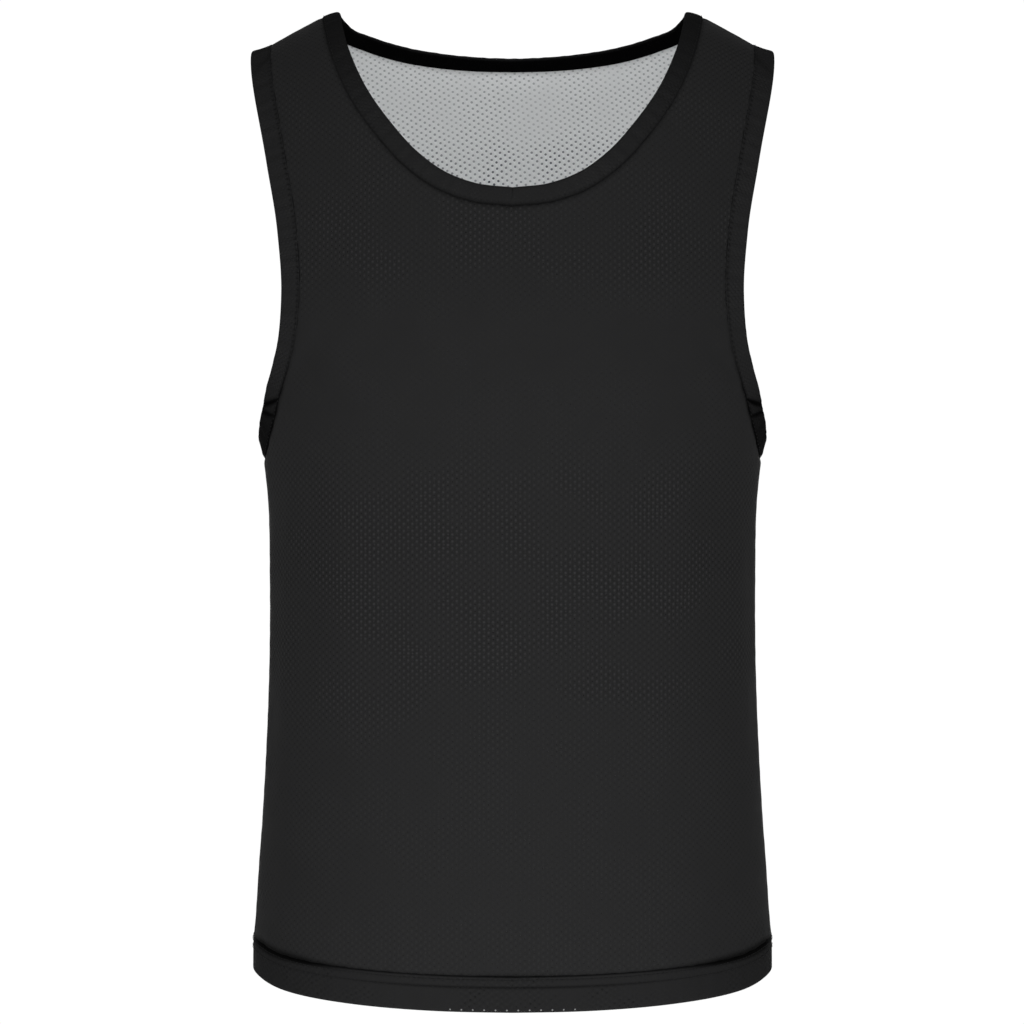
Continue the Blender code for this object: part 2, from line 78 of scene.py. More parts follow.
# ---------------------------------------------------------------- rows of the tables
@dataclass(frozen=True)
class BodySection:
    """Level section of the outer face: a rounded oval with its own front and back depth."""

    level: float
    half_width: float
    front_depth: float
    back_depth: float


@dataclass(frozen=True)
class NeckPoint:
    """Neck seam: distance from the middle and height."""

    half_width: float
    height: float


@dataclass(frozen=True)
class ArmholePoint:
    """Armhole seam: height, and angle from the centre line in degrees."""

    height: float
    angle: float


@dataclass(frozen=True)
class HemPoint:
    """Upper edge of the hem: angle from the centre line in degrees, and height."""

    angle: float
    height: float


@dataclass(frozen=True)
class EdgeLean:
    """How far a band bends out of the cloth towards its free edge, at a share of its seam."""

    share: float
    degrees: float


@dataclass(frozen=True)
class Ditch:
    """Sunken seam: width and depth of the ditch at a place along it."""

    place: float
    width: float
    depth: float


@dataclass(frozen=True)
class Amount:
    """One value, such as a share of shadow or a height in metres, at a place along a seam."""

    place: float
    value: float


@dataclass(frozen=True)
class NetLevel:
    """How clearly the net stands out, from 0 to 1, at a height up the cloth's UV map."""

    up: float
    clear: float


@dataclass(frozen=True)
class Crease:
    """Soft ridge (positive height) or trough (negative), from one place on the cloth to another."""

    across: float
    up: float
    across_end: float
    up_end: float
    height: float
    spread: float


@dataclass(frozen=True)
class Pinch:
    """Short fold across a band, at a share of its loop, slanting by metres a metre of reach."""

    share: float
    depth: float
    spread: float
    # painted shade in the fold, from 0 to 1
    shade: float
    slant: float = 0.0


@dataclass(frozen=True)
class SlantedNet:
    """A second net over the first: how far it is turned, in degrees, and its two pitches."""

    degrees: float
    across: float
    up: float


@dataclass(frozen=True)
class FoldHoles:
    """The row of holes at a fold: pitch, half length, distance from the fold, radius, and how clear."""

    pitch: float
    reach: float
    level: float
    radius: float
    clear: float


def grey(level: float) -> tuple:
    """An opaque grey."""
    return (level, level, level, 1.0)


def rows(kind: type, *groups: tuple) -> tuple:
    """A table: one row of a kind for each group of values, in the order of the kind's fields."""
    return tuple(kind(*group) for group in groups)


# ---------------------------------------------------------------- small numeric helpers
def smooth_curve(stations: Array, values: Array, at: Array) -> Array:
    """Cubic pieces through a table's rows, neighbours sharing their slope.

    Args:
        stations: rising places of the rows.
        values: value of each row.
        at: places to read.

    Returns:
        The value at each place, held at the ends of the table.
    """
    stations, values = np.asarray(stations, float), np.asarray(values, float)
    at = np.clip(np.asarray(at, float), stations[0], stations[-1])
    slopes = np.gradient(values, stations)
    cell = np.clip(np.searchsorted(stations, at, side="right") - 1, 0, len(stations) - 2)
    span = stations[cell + 1] - stations[cell]
    t = (at - stations[cell]) / span
    return ((1 + 2 * t) * (1 - t) ** 2 * values[cell] + t * (1 - t) ** 2 * span * slopes[cell]
            + t * t * (3 - 2 * t) * values[cell + 1] + t * t * (t - 1) * span * slopes[cell + 1])


def column(table: tuple, name: str) -> Array:
    """One named column of a table of rows."""
    return np.array([getattr(row, name) for row in table], float)


def read_table(table: tuple, place: str, value: str, at: Array) -> Array:
    """Smooth value of one column of a table at places along another."""
    return smooth_curve(column(table, place), column(table, value), at)


def amount_at(table: tuple, place: Array) -> Array:
    """Smooth value of a table of amounts at places."""
    return read_table(table, "place", "value", place)


def ditch_at(table: tuple, place: Array) -> tuple[Array, Array]:
    """Smooth width and depth of a table of ditches at places."""
    return read_table(table, "place", "width", place), read_table(table, "place", "depth", place)


def bell(distance: Array, width: float | Array, power: int = 2) -> Array:
    """One at no distance and falling away: e to the power of minus (distance / width) ^ power."""
    return np.exp(-(distance / width) ** power)


def rounded(gap: Array, radius: float) -> Array:
    """Share of the full height at a gap from a rounded edge: a quarter circle over the last radius."""
    short = 1.0 - np.clip(gap / radius, 0.0, 1.0)
    return np.sqrt(1.0 - short ** 2)


def unit(vectors: Array) -> Array:
    """The vectors at length one."""
    return vectors / np.linalg.norm(vectors, axis=-1, keepdims=True)


def run_along(line: Array) -> Array:
    """Distance from the first point of a line to each of its points."""
    steps = np.linalg.norm(np.diff(line, axis=0), axis=1)
    return np.concatenate([[0.0], np.cumsum(steps)])


class Crowd(Enum):
    """Ends of a line at which its stations stand closer, as (start, end)."""

    NONE = (0.0, 0.0)
    END = (0.0, 0.5)
    BOTH = (0.5, 0.5)


def even_index(line: Array, start: float, end: float, cells: int, crowd: Crowd = Crowd.NONE) -> Array:
    """Fractional point numbers between two shares of a line's length.

    The stations are even, or crowd to an end: a share t becomes t - a t (1 - t)^2 + b t^2 (1 - t).

    Args:
        line: dense points of the line.
        start: share at the first station.
        end: share at the last station.
        cells: cells between the stations.
        crowd: ends with closer stations.

    Returns:
        The numbers, one more than the cells.
    """
    run, t = run_along(line), np.linspace(0.0, 1.0, cells + 1)
    t = t - crowd.value[0] * t * (1.0 - t) ** 2 + crowd.value[1] * t * t * (1.0 - t)
    return np.interp(start + (end - start) * t, run / run[-1], np.arange(len(line), dtype=float))


def read_rows(rows: Array, index: Array) -> Array:
    """Rows of an array at fractional numbers, blended from their neighbours.

    Args:
        rows: array with one row for each whole number.
        index: numbers of rows, with fractions.

    Returns:
        One blended row for each number.
    """
    low = np.clip(np.floor(index).astype(int), 0, len(rows) - 2)
    share = (index - low).reshape((-1,) + (1,) * (rows.ndim - 1))
    return (1.0 - share) * rows[low] + share * rows[low + 1]


def uneven_wave(run: Array, length: float, phase: float) -> Array:
    """Uneven ripple between about -1 and 1: three sines whose lengths share no common measure.

    Args:
        run: way along the seam.
        length: length of the longest of the sines.
        phase: shift of the whole ripple, so that seams differ.

    Returns:
        The ripple at each place.
    """
    turn = TURN * run / length
    return (0.52 * np.sin(turn + phase) + 0.30 * np.sin(1.618 * turn + 2.3 * phase + 1.1)
            + 0.24 * np.sin(0.437 * turn + 0.7 * phase + 2.9))


def nearest_on_line(points: Array, line: Array) -> tuple[Array, Array]:
    """Distance from each point to the nearest point of a dense line, and the run there.

    Args:
        points: places, one a row.
        line: dense points along a seam.

    Returns:
        The distances, and the distance along the line of the nearest point.
    """
    run, best, where = run_along(line), [], []
    for part in np.array_split(points, max(1, len(points) // 4000)):
        square = (part ** 2).sum(1)[:, None] + (line ** 2).sum(1)[None] - 2.0 * part @ line.T
        nearest = square.argmin(1)
        best.append(np.sqrt(np.maximum(square[np.arange(len(part)), nearest], 0.0)))
        where.append(run[nearest])
    return np.concatenate(best), np.concatenate(where)


# ---------------------------------------------------------------- the form of the worn cloth
@dataclass(frozen=True)
class HalfLines:
    """The seams of one half of a side, as rows of angle and level from the centre line outwards."""

    neck: Array
    armhole: Array
    hem: Array
    side: Array
    shoulder: Array


@dataclass
class BodyForm:
    """Outer face of the worn cloth, with its seams and soft creases."""

    chest_level: float = -0.270
    lowest_level: float = -0.720
    shoulder_y: float = 0.012
    shoulder_fall: float = 0.630
    shoulder_round: float = 0.100
    squareness: float = 2.30
    shoulder_tip: float = 0.1740
    shoulder_neck: NeckPoint = NeckPoint(half_width=0.1370, height=-0.0010)
    fullness: dict = field(default_factory=lambda: {Side.FRONT: 2.40, Side.BACK: 2.10})
    sections: tuple = rows(
        BodySection,  # level, half_width, front_depth, back_depth
        (-0.7200, 0.1846, 0.1285, 0.1240), (-0.6600, 0.1846, 0.1275, 0.1225),
        (-0.6200, 0.1826, 0.1255, 0.1185), (-0.5750, 0.1794, 0.1230, 0.1130),
        (-0.5200, 0.1764, 0.1210, 0.1075), (-0.4600, 0.1744, 0.1205, 0.1050),
        (-0.4000, 0.1742, 0.1225, 0.1075), (-0.3500, 0.1753, 0.1255, 0.1125),
        (-0.3185, 0.1785, 0.1280, 0.1155), (-0.2700, 0.1865, 0.1295, 0.1180),
        (-0.2000, 0.2000, 0.1290, 0.1180), (-0.1000, 0.2100, 0.1285, 0.1170),
        (0.0000, 0.2150, 0.1280, 0.1160),
    )
    neck_rows: dict = field(default_factory=lambda: {
        Side.FRONT: rows(
            NeckPoint,  # half_width, height
            (0.0000, -0.1478), (0.0280, -0.1444), (0.0540, -0.1342), (0.0752, -0.1182), (0.0947, -0.0960),
            (0.1130, -0.0690), (0.1265, -0.0390),
        ),
        Side.BACK: rows(
            NeckPoint,  # half_width, height
            (0.0000, -0.0293), (0.0285, -0.0288), (0.0568, -0.0269), (0.0830, -0.0234), (0.1085, -0.0171),
            (0.1270, -0.0102),
        ),
    })
    armhole_rows: dict = field(default_factory=lambda: {
        Side.FRONT: rows(
            ArmholePoint,  # height, angle
            (-0.3190, 90.0), (-0.3158, 81.5), (-0.2985, 73.0), (-0.2720, 65.7), (-0.2400, 60.0),
            (-0.2050, 57.8), (-0.1600, 58.0), (-0.1100, 60.3), (-0.0620, 63.0),
        ),
        Side.BACK: rows(
            ArmholePoint,  # height, angle
            (-0.3190, 90.0), (-0.3158, 81.0), (-0.2985, 72.0), (-0.2720, 66.0), (-0.2400, 61.5),
            (-0.2050, 59.5), (-0.1600, 59.5), (-0.1100, 61.5), (-0.0620, 63.8),
        ),
    })
    hem_rows: tuple = rows(
        HemPoint,  # angle, height
        (0.0, -0.6738), (25.0, -0.6729), (45.0, -0.6706), (65.0, -0.6661), (80.0, -0.6602),
        (90.0, -0.6586),
    )
    creases: dict = field(default_factory=lambda: {
        Side.FRONT: rows(
            Crease,  # across, up, across_end, up_end, height, spread
            (0.004, 0.300, -0.006, 0.070, 0.0016, 0.034), (-0.128, 0.405, -0.118, 0.230, 0.0012, 0.017),
            (0.126, 0.400, 0.119, 0.300, 0.0010, 0.015), (-0.086, 0.440, -0.080, 0.215, -0.0009, 0.016),
            (0.088, 0.420, 0.078, 0.170, -0.0008, 0.018), (-0.188, 0.395, -0.205, 0.150, -0.0011, 0.015),
            (0.192, 0.380, 0.208, 0.190, -0.0010, 0.014), (-0.205, 0.418, -0.120, 0.500, -0.0010, 0.010),
            (0.207, 0.420, 0.135, 0.486, -0.0009, 0.009), (-0.145, 0.640, -0.118, 0.560, -0.0007, 0.010),
            (0.148, 0.650, 0.110, 0.545, -0.0008, 0.011), (-0.170, 0.135, -0.090, 0.085, -0.0008, 0.013),
            (0.176, 0.120, 0.112, 0.078, -0.0007, 0.012),
        ),
        Side.BACK: rows(
            Crease,  # across, up, across_end, up_end, height, spread
            (0.006, 0.330, -0.004, 0.120, -0.0018, 0.030), (-0.072, 0.300, -0.090, 0.080, 0.0013, 0.022),
            (0.078, 0.280, 0.086, 0.070, 0.0011, 0.020), (-0.190, 0.420, -0.100, 0.520, -0.0012, 0.011),
            (0.192, 0.420, 0.118, 0.500, -0.0010, 0.010), (-0.150, 0.250, -0.040, 0.215, -0.0010, 0.012),
            (0.160, 0.235, 0.060, 0.190, -0.0009, 0.011), (-0.100, 0.640, -0.060, 0.540, 0.0009, 0.018),
            (0.104, 0.635, 0.070, 0.560, 0.0008, 0.016),
        ),
    })
    ruler: dict = field(default_factory=dict)

    ANGLE_STEPS = 121
    LEVEL_STEPS = 361
    SEAM_SAMPLES = 500
    HALVINGS = 50
    END_FADE = 0.8
    METRES_A_RADIAN = 0.16

    def __post_init__(self) -> None:
        """Measures the cloth once for each side, for cloth_place()."""
        angles = np.linspace(0.0, QUARTER_TURN, self.ANGLE_STEPS)
        levels = np.linspace(self.lowest_level, 0.0, self.LEVEL_STEPS)
        for side in Side:
            face = self.bare_face(side, *np.meshgrid(angles, levels, indexing="ij"))
            across = np.linalg.norm(np.diff(face, axis=0), axis=-1).cumsum(axis=0)
            up = np.linalg.norm(np.diff(face, axis=1), axis=-1).cumsum(axis=1)
            self.ruler[side] = (np.pad(across, ((1, 0), (0, 0))), np.pad(up, ((0, 0), (1, 0))))

    def shoulder_line(self, x: Array) -> Array:
        """Height of the shoulder line: it falls as the hypotenuse of x and the rounding width."""
        reach = math.hypot(self.shoulder_neck.half_width, self.shoulder_round)
        return self.shoulder_neck.height + self.shoulder_fall * (reach - np.hypot(x, self.shoulder_round))

    def section_point(self, side: Side, angle: Array, level: Array) -> tuple[Array, Array]:
        """Point of the level oval.

        The radius is (|sin / half width| ^ p + |cos / depth| ^ p) ^ (-1 / p), p the squareness.

        Args:
            side: front or back.
            angle: angles from the centre line, in radians.
            level: levels of the section.

        Returns:
            x, and y before the cloth curves over to the shoulder.
        """
        half_width = read_table(self.sections, "level", "half_width", level)
        name = "front_depth" if side is Side.FRONT else "back_depth"
        depth = read_table(self.sections, "level", name, level)
        power = self.squareness
        radius = ((np.abs(np.sin(angle)) / half_width) ** power
                  + (np.abs(np.cos(angle)) / depth) ** power) ** (-1.0 / power)
        return radius * np.sin(angle), side.value * radius * np.cos(angle)

    def bare_face(self, side: Side, angle: Array, level: Array) -> Array:
        """Outer face without creases.

        Above the chest a point turns over to the shoulder line along a rounded quarter circle,
        whose power is the side's fullness.

        Args:
            side: front or back.
            angle: angles from the centre line, in radians.
            level: levels, 0 at the shoulder line.

        Returns:
            Points, the last axis x, y, z.
        """
        x, y = self.section_point(side, angle, level)
        turn = QUARTER_TURN * np.clip((level - self.chest_level) / -self.chest_level, 0.0, 1.0)
        power = self.fullness[side]
        radius = (np.sin(turn) ** power + np.abs(np.cos(turn)) ** power) ** (-1.0 / power)
        over = level > self.chest_level
        top = self.shoulder_line(x) - self.chest_level
        z = np.where(over, self.chest_level + top * radius * np.sin(turn), level)
        y = np.where(over, self.shoulder_y + (y - self.shoulder_y) * radius * np.cos(turn), y)
        return np.stack([x, y, z], axis=-1)

    def normal(self, side: Side, angle: Array, level: Array) -> Array:
        """Outward direction: the cross product of the face's two slopes.

        Args:
            side: front or back.
            angle: angles from the centre line.
            level: levels.

        Returns:
            Unit vectors that point away from the body.
        """
        step = 1.0e-4
        inside = np.minimum(level, -step)
        across = self.bare_face(side, angle + step, inside) - self.bare_face(side, angle - step, inside)
        along = self.bare_face(side, angle, inside + step) - self.bare_face(side, angle, inside - step)
        return unit(-side.value * np.cross(across, along))

    def cloth_place(self, side: Side, angle: Array, level: Array) -> tuple[Array, Array]:
        """Distance on the cloth from the centre line and up from the lowest level.

        Both are read from the measured grid of the side, blended between its four nearest nodes.

        Args:
            side: front or back.
            angle: angles from the centre line, negative on the other half.
            level: levels.

        Returns:
            Distance across, with the sign of the angle, and distance up.
        """
        i = np.abs(angle) / QUARTER_TURN * (self.ANGLE_STEPS - 1)
        j = (level - self.lowest_level) / -self.lowest_level * (self.LEVEL_STEPS - 1)
        i0 = np.clip(i.astype(int), 0, self.ANGLE_STEPS - 2)
        j0 = np.clip(j.astype(int), 0, self.LEVEL_STEPS - 2)
        a, b = i - i0, j - j0
        read = [(1 - a) * (1 - b) * grid[i0, j0] + a * (1 - b) * grid[i0 + 1, j0]
                + (1 - a) * b * grid[i0, j0 + 1] + a * b * grid[i0 + 1, j0 + 1]
                for grid in self.ruler[side]]
        return np.sign(angle) * read[0], read[1]

    def crease_height(self, side: Side, across: Array, up: Array) -> Array:
        """Height of all creases of a side at places on its cloth.

        Each crease is a bell curve of the distance to its line, and fades towards its ends.

        Args:
            side: front or back.
            across: distances from the centre line.
            up: distances up from the lowest level.

        Returns:
            The height along the outward normal.
        """
        height = np.zeros_like(across)
        for row in self.creases[side]:
            along = np.array([row.across_end - row.across, row.up_end - row.up])
            share = ((across - row.across) * along[0] + (up - row.up) * along[1]) / (along @ along)
            share = np.clip(share, 0.0, 1.0)
            off = np.hypot(across - row.across - share * along[0], up - row.up - share * along[1])
            fade = 1.0 - self.END_FADE * np.abs(2.0 * share - 1.0) ** 3
            height += row.height * fade * bell(off, row.spread)
        return height

    def face(self, side: Side, angle: Array, level: Array) -> tuple[Array, Array]:
        """Outer face with its creases, and its outward normals.

        Args:
            side: front or back.
            angle: angles from the centre line.
            level: levels.

        Returns:
            Points of the face, and the outward normals there.
        """
        normal = self.normal(side, angle, level)
        height = self.crease_height(side, *self.cloth_place(side, angle, level))
        return self.bare_face(side, angle, level) + height[..., None] * normal, normal

    def level_of(self, side: Side, x: Array, height: Array) -> Array:
        """Level whose bare face has this height at this distance from the middle.

        Args:
            side: front or back.
            x: distances from the middle.
            height: heights.

        Returns:
            Levels, which are the heights themselves below the chest.
        """
        power = self.fullness[side]
        up = np.clip((height - self.chest_level) / (self.shoulder_line(x) - self.chest_level), 0.0, 1.0)
        turn = np.arctan2(up, (1.0 - up ** power) ** (1.0 / power))
        over = self.chest_level - self.chest_level * turn / QUARTER_TURN
        return np.where(height > self.chest_level, over, height)

    def angle_of(self, side: Side, x: Array, level: Array) -> Array:
        """Angle at which the bare face has this distance from the middle, by halving.

        Args:
            side: front or back.
            x: distances from the middle.
            level: levels.

        Returns:
            Angles from the centre line.
        """
        low, high = np.zeros_like(x), np.full_like(x, QUARTER_TURN)
        for _ in range(self.HALVINGS):
            middle = 0.5 * (low + high)
            inside = self.section_point(side, middle, level)[0] < x
            low, high = np.where(inside, middle, low), np.where(inside, high, middle)
        return 0.5 * (low + high)

    def half_lines(self, side: Side) -> HalfLines:
        """The dense seams of one half of a side.

        Args:
            side: front or back.

        Returns:
            The five seams, each with the same number of points.
        """
        table = self.neck_rows[side] + (self.shoulder_neck,)
        width, height = column(table, "half_width"), column(table, "height")
        run = run_along(np.stack([width, height], axis=-1))
        at = np.linspace(0.0, run[-1], self.SEAM_SAMPLES)
        x, z = smooth_curve(run, width, at), smooth_curve(run, height, at)
        level = self.level_of(side, x, z)
        level[-1] = 0.0
        neck = np.stack([self.angle_of(side, x, level), level], axis=-1)

        table = self.armhole_rows[side]
        tip = self.angle_of(side, np.array([self.shoulder_tip]), np.zeros(1))
        angles = np.append(np.radians(column(table, "angle")), tip)
        heights = column(table, "height")
        x = self.section_point(side, angles[:-1], heights)[0]
        levels = np.append(self.level_of(side, x, heights), 0.0)
        run = run_along(np.stack([angles * self.METRES_A_RADIAN, levels], axis=-1))
        at = np.linspace(0.0, run[-1], self.SEAM_SAMPLES)
        armhole = np.stack([smooth_curve(run, angles, at), smooth_curve(run, levels, at)], axis=-1)

        angle = np.linspace(0.0, QUARTER_TURN, self.SEAM_SAMPLES)
        height = read_table(self.hem_rows, "angle", "height", np.degrees(angle))
        hem = np.stack([angle, height], axis=-1)
        share = np.linspace(0.0, 1.0, self.SEAM_SAMPLES)[:, None]
        return HalfLines(neck=neck, armhole=armhole, hem=hem,
                         side=(1.0 - share) * hem[-1] + share * armhole[0],
                         shoulder=(1.0 - share) * neck[-1] + share * armhole[-1])


# ---------------------------------------------------------------- meshes
def make_mesh_piece(name: str, points: Array, faces: list, uv: Array, shade: Array,
                    material: bpy.types.Material, lap: float = 0.0) -> bpy.types.Object:
    """Puts a surface into a mesh object at the origin, with its UV map and seam shade.

    Args:
        name: name of the piece.
        points: vertices, one a row.
        faces: vertex numbers of each face.
        uv: place of each vertex on its cloth, in metres.
        shade: painted shade of each vertex, from 0 to 1, in ditches, folds, shadowed parts and undersides.
        material: finish of the whole piece.
        lap: length after which the first UV axis meets its start again, or 0.

    Returns:
        The object, smooth shaded.
    """
    mesh = bpy.data.meshes.new(name)
    mesh.from_pydata(points.tolist(), [], faces)
    mesh.update()
    corners = np.zeros(len(mesh.loops), dtype=np.int32)
    mesh.loops.foreach_get("vertex_index", corners)
    corner_uv = uv[corners]
    if lap:
        quads = corner_uv[:, 0].reshape(-1, 4)
        quads += lap * ((quads < 0.25 * lap) & (quads.max(axis=1, keepdims=True) > 0.75 * lap))
        corner_uv[:, 0] = quads.ravel()
    layer = mesh.uv_layers.new(name="UVMap")
    layer.data.foreach_set("uv", corner_uv.astype(np.float32).ravel())
    # seam_shade carries the painted shade by which the finishes darken the colour
    mark = mesh.attributes.new(name="seam_shade", type="FLOAT", domain="POINT")
    mark.data.foreach_set("value", np.asarray(shade, dtype=np.float32).ravel())
    mesh.shade_smooth()
    mesh.materials.append(material)
    piece = bpy.data.objects.new(name, mesh)
    bpy.context.scene.collection.objects.link(piece)
    return piece


def grid_faces(rows: int, columns: int, ring: bool) -> Array:
    """Quads of a grid whose rows run along a path and whose columns run round a closed section.

    Args:
        rows: stations along the path.
        columns: points of the section.
        ring: whether the path closes on itself.

    Returns:
        Vertex numbers, four a row.
    """
    numbers = np.arange(rows * columns).reshape(rows, columns)
    numbers = np.vstack([numbers, numbers[:1]]) if ring else numbers
    numbers = np.hstack([numbers, numbers[:, :1]])
    return np.stack([numbers[:-1, :-1], numbers[1:, :-1], numbers[1:, 1:], numbers[:-1, 1:]],
                    axis=-1).reshape(-1, 4)


def declare(piece: bpy.types.Object, slot: str, *nodes: str) -> bpy.types.Object:
    """Makes a piece ride on the body and stand for its CAD nodes.

    Args:
        piece: the visible piece.
        slot: name of its slot; not used.
        nodes: names of the CAD nodes that it stands for, if any.

    Returns:
        The same piece.
    """
    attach(piece, BODY)
    if nodes:
        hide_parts(*nodes)
    LOG.info("%s: %d faces for %s", piece.name, len(piece.data.polygons), ", ".join(nodes) or "no node")
    return piece


# ---------------------------------------------------------------- panels
@dataclass(frozen=True)
class PanelCells:
    """Cells of a panel's grid, by block."""

    neck: int
    strap: int
    underarm: int
    side: int
    chest: int
    shoulder: int

    def scaled(self, share: float) -> "PanelCells":
        """The same grid with its cells multiplied."""
        return PanelCells(*(max(2, round(getattr(self, f.name) * share)) for f in fields(self)))


@dataclass
class PanelGrid:
    """Vertices of a panel as angle and level, with the quads between them."""

    spots: Array
    quads: Array
    side_seam: Array
    shoulder: Array


@dataclass
class PanelCutter:
    """Cuts the panels of one side from the form: blocks of rows and columns between the seams."""

    form: BodyForm
    side: Side
    cells: PanelCells
    strap_start_neck: dict = field(default_factory=lambda: {Side.FRONT: 0.50, Side.BACK: 0.62})
    strap_start_armhole: dict = field(default_factory=lambda: {Side.FRONT: 0.58, Side.BACK: 0.70})
    underarm_end: float = 0.16

    def stations(self, line: Array, cells: int, start: float = 0.0, end: float = 1.0,
                 crowd: Crowd = Crowd.NONE) -> Array:
        """Angle and level at stations along a line on the bare face."""
        face = self.form.bare_face(self.side, line[:, 0], line[:, 1])
        return read_rows(line, even_index(face, start, end, cells, crowd))

    def straight(self, start: Array, end: Array, cells: int, crowd: Crowd) -> Array:
        """Stations on the line that is straight in angle and level between two spots."""
        share = np.linspace(0.0, 1.0, self.form.SEAM_SAMPLES)[:, None]
        return self.stations((1.0 - share) * start + share * end, cells, crowd=crowd)

    @staticmethod
    def patch(bottom: Array, top: Array, left: Array, right: Array) -> Array:
        """Grid that blends four edges: the two opposite blends less the blend of the corners.

        Args:
            bottom: lower edge, from the left.
            top: upper edge, from the left.
            left: left edge, upwards.
            right: right edge, upwards.

        Returns:
            Places of the grid, by row and column.
        """
        u = np.linspace(0.0, 1.0, len(bottom))[None, :, None]
        v = np.linspace(0.0, 1.0, len(left))[:, None, None]
        edges = (1 - v) * bottom[None] + v * top[None] + (1 - u) * left[:, None] + u * right[:, None]
        corners = ((1 - u) * (1 - v) * bottom[0] + u * (1 - v) * bottom[-1]
                   + (1 - u) * v * top[0] + u * v * top[-1])
        return edges - corners

    def half(self, hem_drop: float) -> list[Array]:
        """Skirt, chest and strap grids of one half, rows upwards and columns outwards.

        Args:
            hem_drop: how far the lower edge lies below the hem's upper edge.

        Returns:
            The three grids of angle and level.
        """
        lines, cells, side = self.form.half_lines(self.side), self.cells, self.side
        neck_start, arm_start = self.strap_start_neck[side], self.strap_start_armhole[side]
        neck_low = self.stations(lines.neck, cells.neck, 0.0, neck_start)
        neck_high = self.stations(lines.neck, cells.shoulder, neck_start, 1.0)
        under = self.stations(lines.armhole, cells.underarm, 0.0, self.underarm_end)
        arm_low = self.stations(lines.armhole, cells.chest, self.underarm_end, arm_start)
        arm_high = self.stations(lines.armhole, cells.shoulder, arm_start, 1.0)
        strap_foot = self.straight(neck_low[-1], arm_low[-1], cells.strap, Crowd.BOTH)
        shoulder = self.straight(neck_high[-1], arm_high[-1], cells.strap, Crowd.BOTH)
        centre = np.array([0.0, under[0, 1]])
        chest_foot = self.straight(centre, under[-1], cells.neck + cells.strap, Crowd.END)
        hem = lines.hem - np.array([0.0, hem_drop])
        skirt = self.patch(
            bottom=self.stations(hem, cells.neck + cells.strap + cells.underarm),
            top=np.concatenate([chest_foot, under[-2::-1]]),
            left=self.straight(hem[0], centre, cells.side, Crowd.BOTH),
            right=self.straight(hem[-1], under[0], cells.side, Crowd.BOTH))
        chest = self.patch(
            bottom=chest_foot,
            top=np.concatenate([neck_low, strap_foot[1:]]),
            left=self.straight(centre, neck_low[0], cells.chest, Crowd.END),
            right=arm_low)
        return [skirt, chest, self.patch(strap_foot, shoulder, neck_high, arm_high)]

    def cut(self, hem_drop: float = 0.0) -> PanelGrid:
        """Both halves as one welded grid: vertices that blocks share are there once.

        Args:
            hem_drop: how far the panel goes down past the hem seam.

        Returns:
            The welded vertices and their faces.
        """
        skirt, chest, strap = self.half(hem_drop)
        flip = np.array([-1.0, 1.0])
        grids = [np.concatenate([grid[:, :0:-1] * flip, grid], axis=1) for grid in (skirt, chest)]
        grids += [strap, strap[:, ::-1] * flip]
        spots = np.concatenate([grid.reshape(-1, 2) for grid in grids]) + 0.0
        _, first, numbers = np.unique(np.round(spots, 9) + 0.0, axis=0, return_index=True,
                                      return_inverse=True)
        ends = np.cumsum([grid.shape[0] * grid.shape[1] for grid in grids])[:-1]
        ids = [part.reshape(grid.shape[:2]) for part, grid in zip(np.split(numbers.reshape(-1), ends), grids)]
        quads = np.concatenate([
            np.stack([n[:-1, :-1], n[:-1, 1:], n[1:, 1:], n[1:, :-1]], axis=-1).reshape(-1, 4) for n in ids])
        quads = quads if self.side is Side.FRONT else quads[:, ::-1]
        return PanelGrid(spots=spots[first], quads=quads, side_seam=ids[0][:, [0, -1]].ravel(),
                         shoulder=np.concatenate([ids[2][-1], ids[3][-1]]))


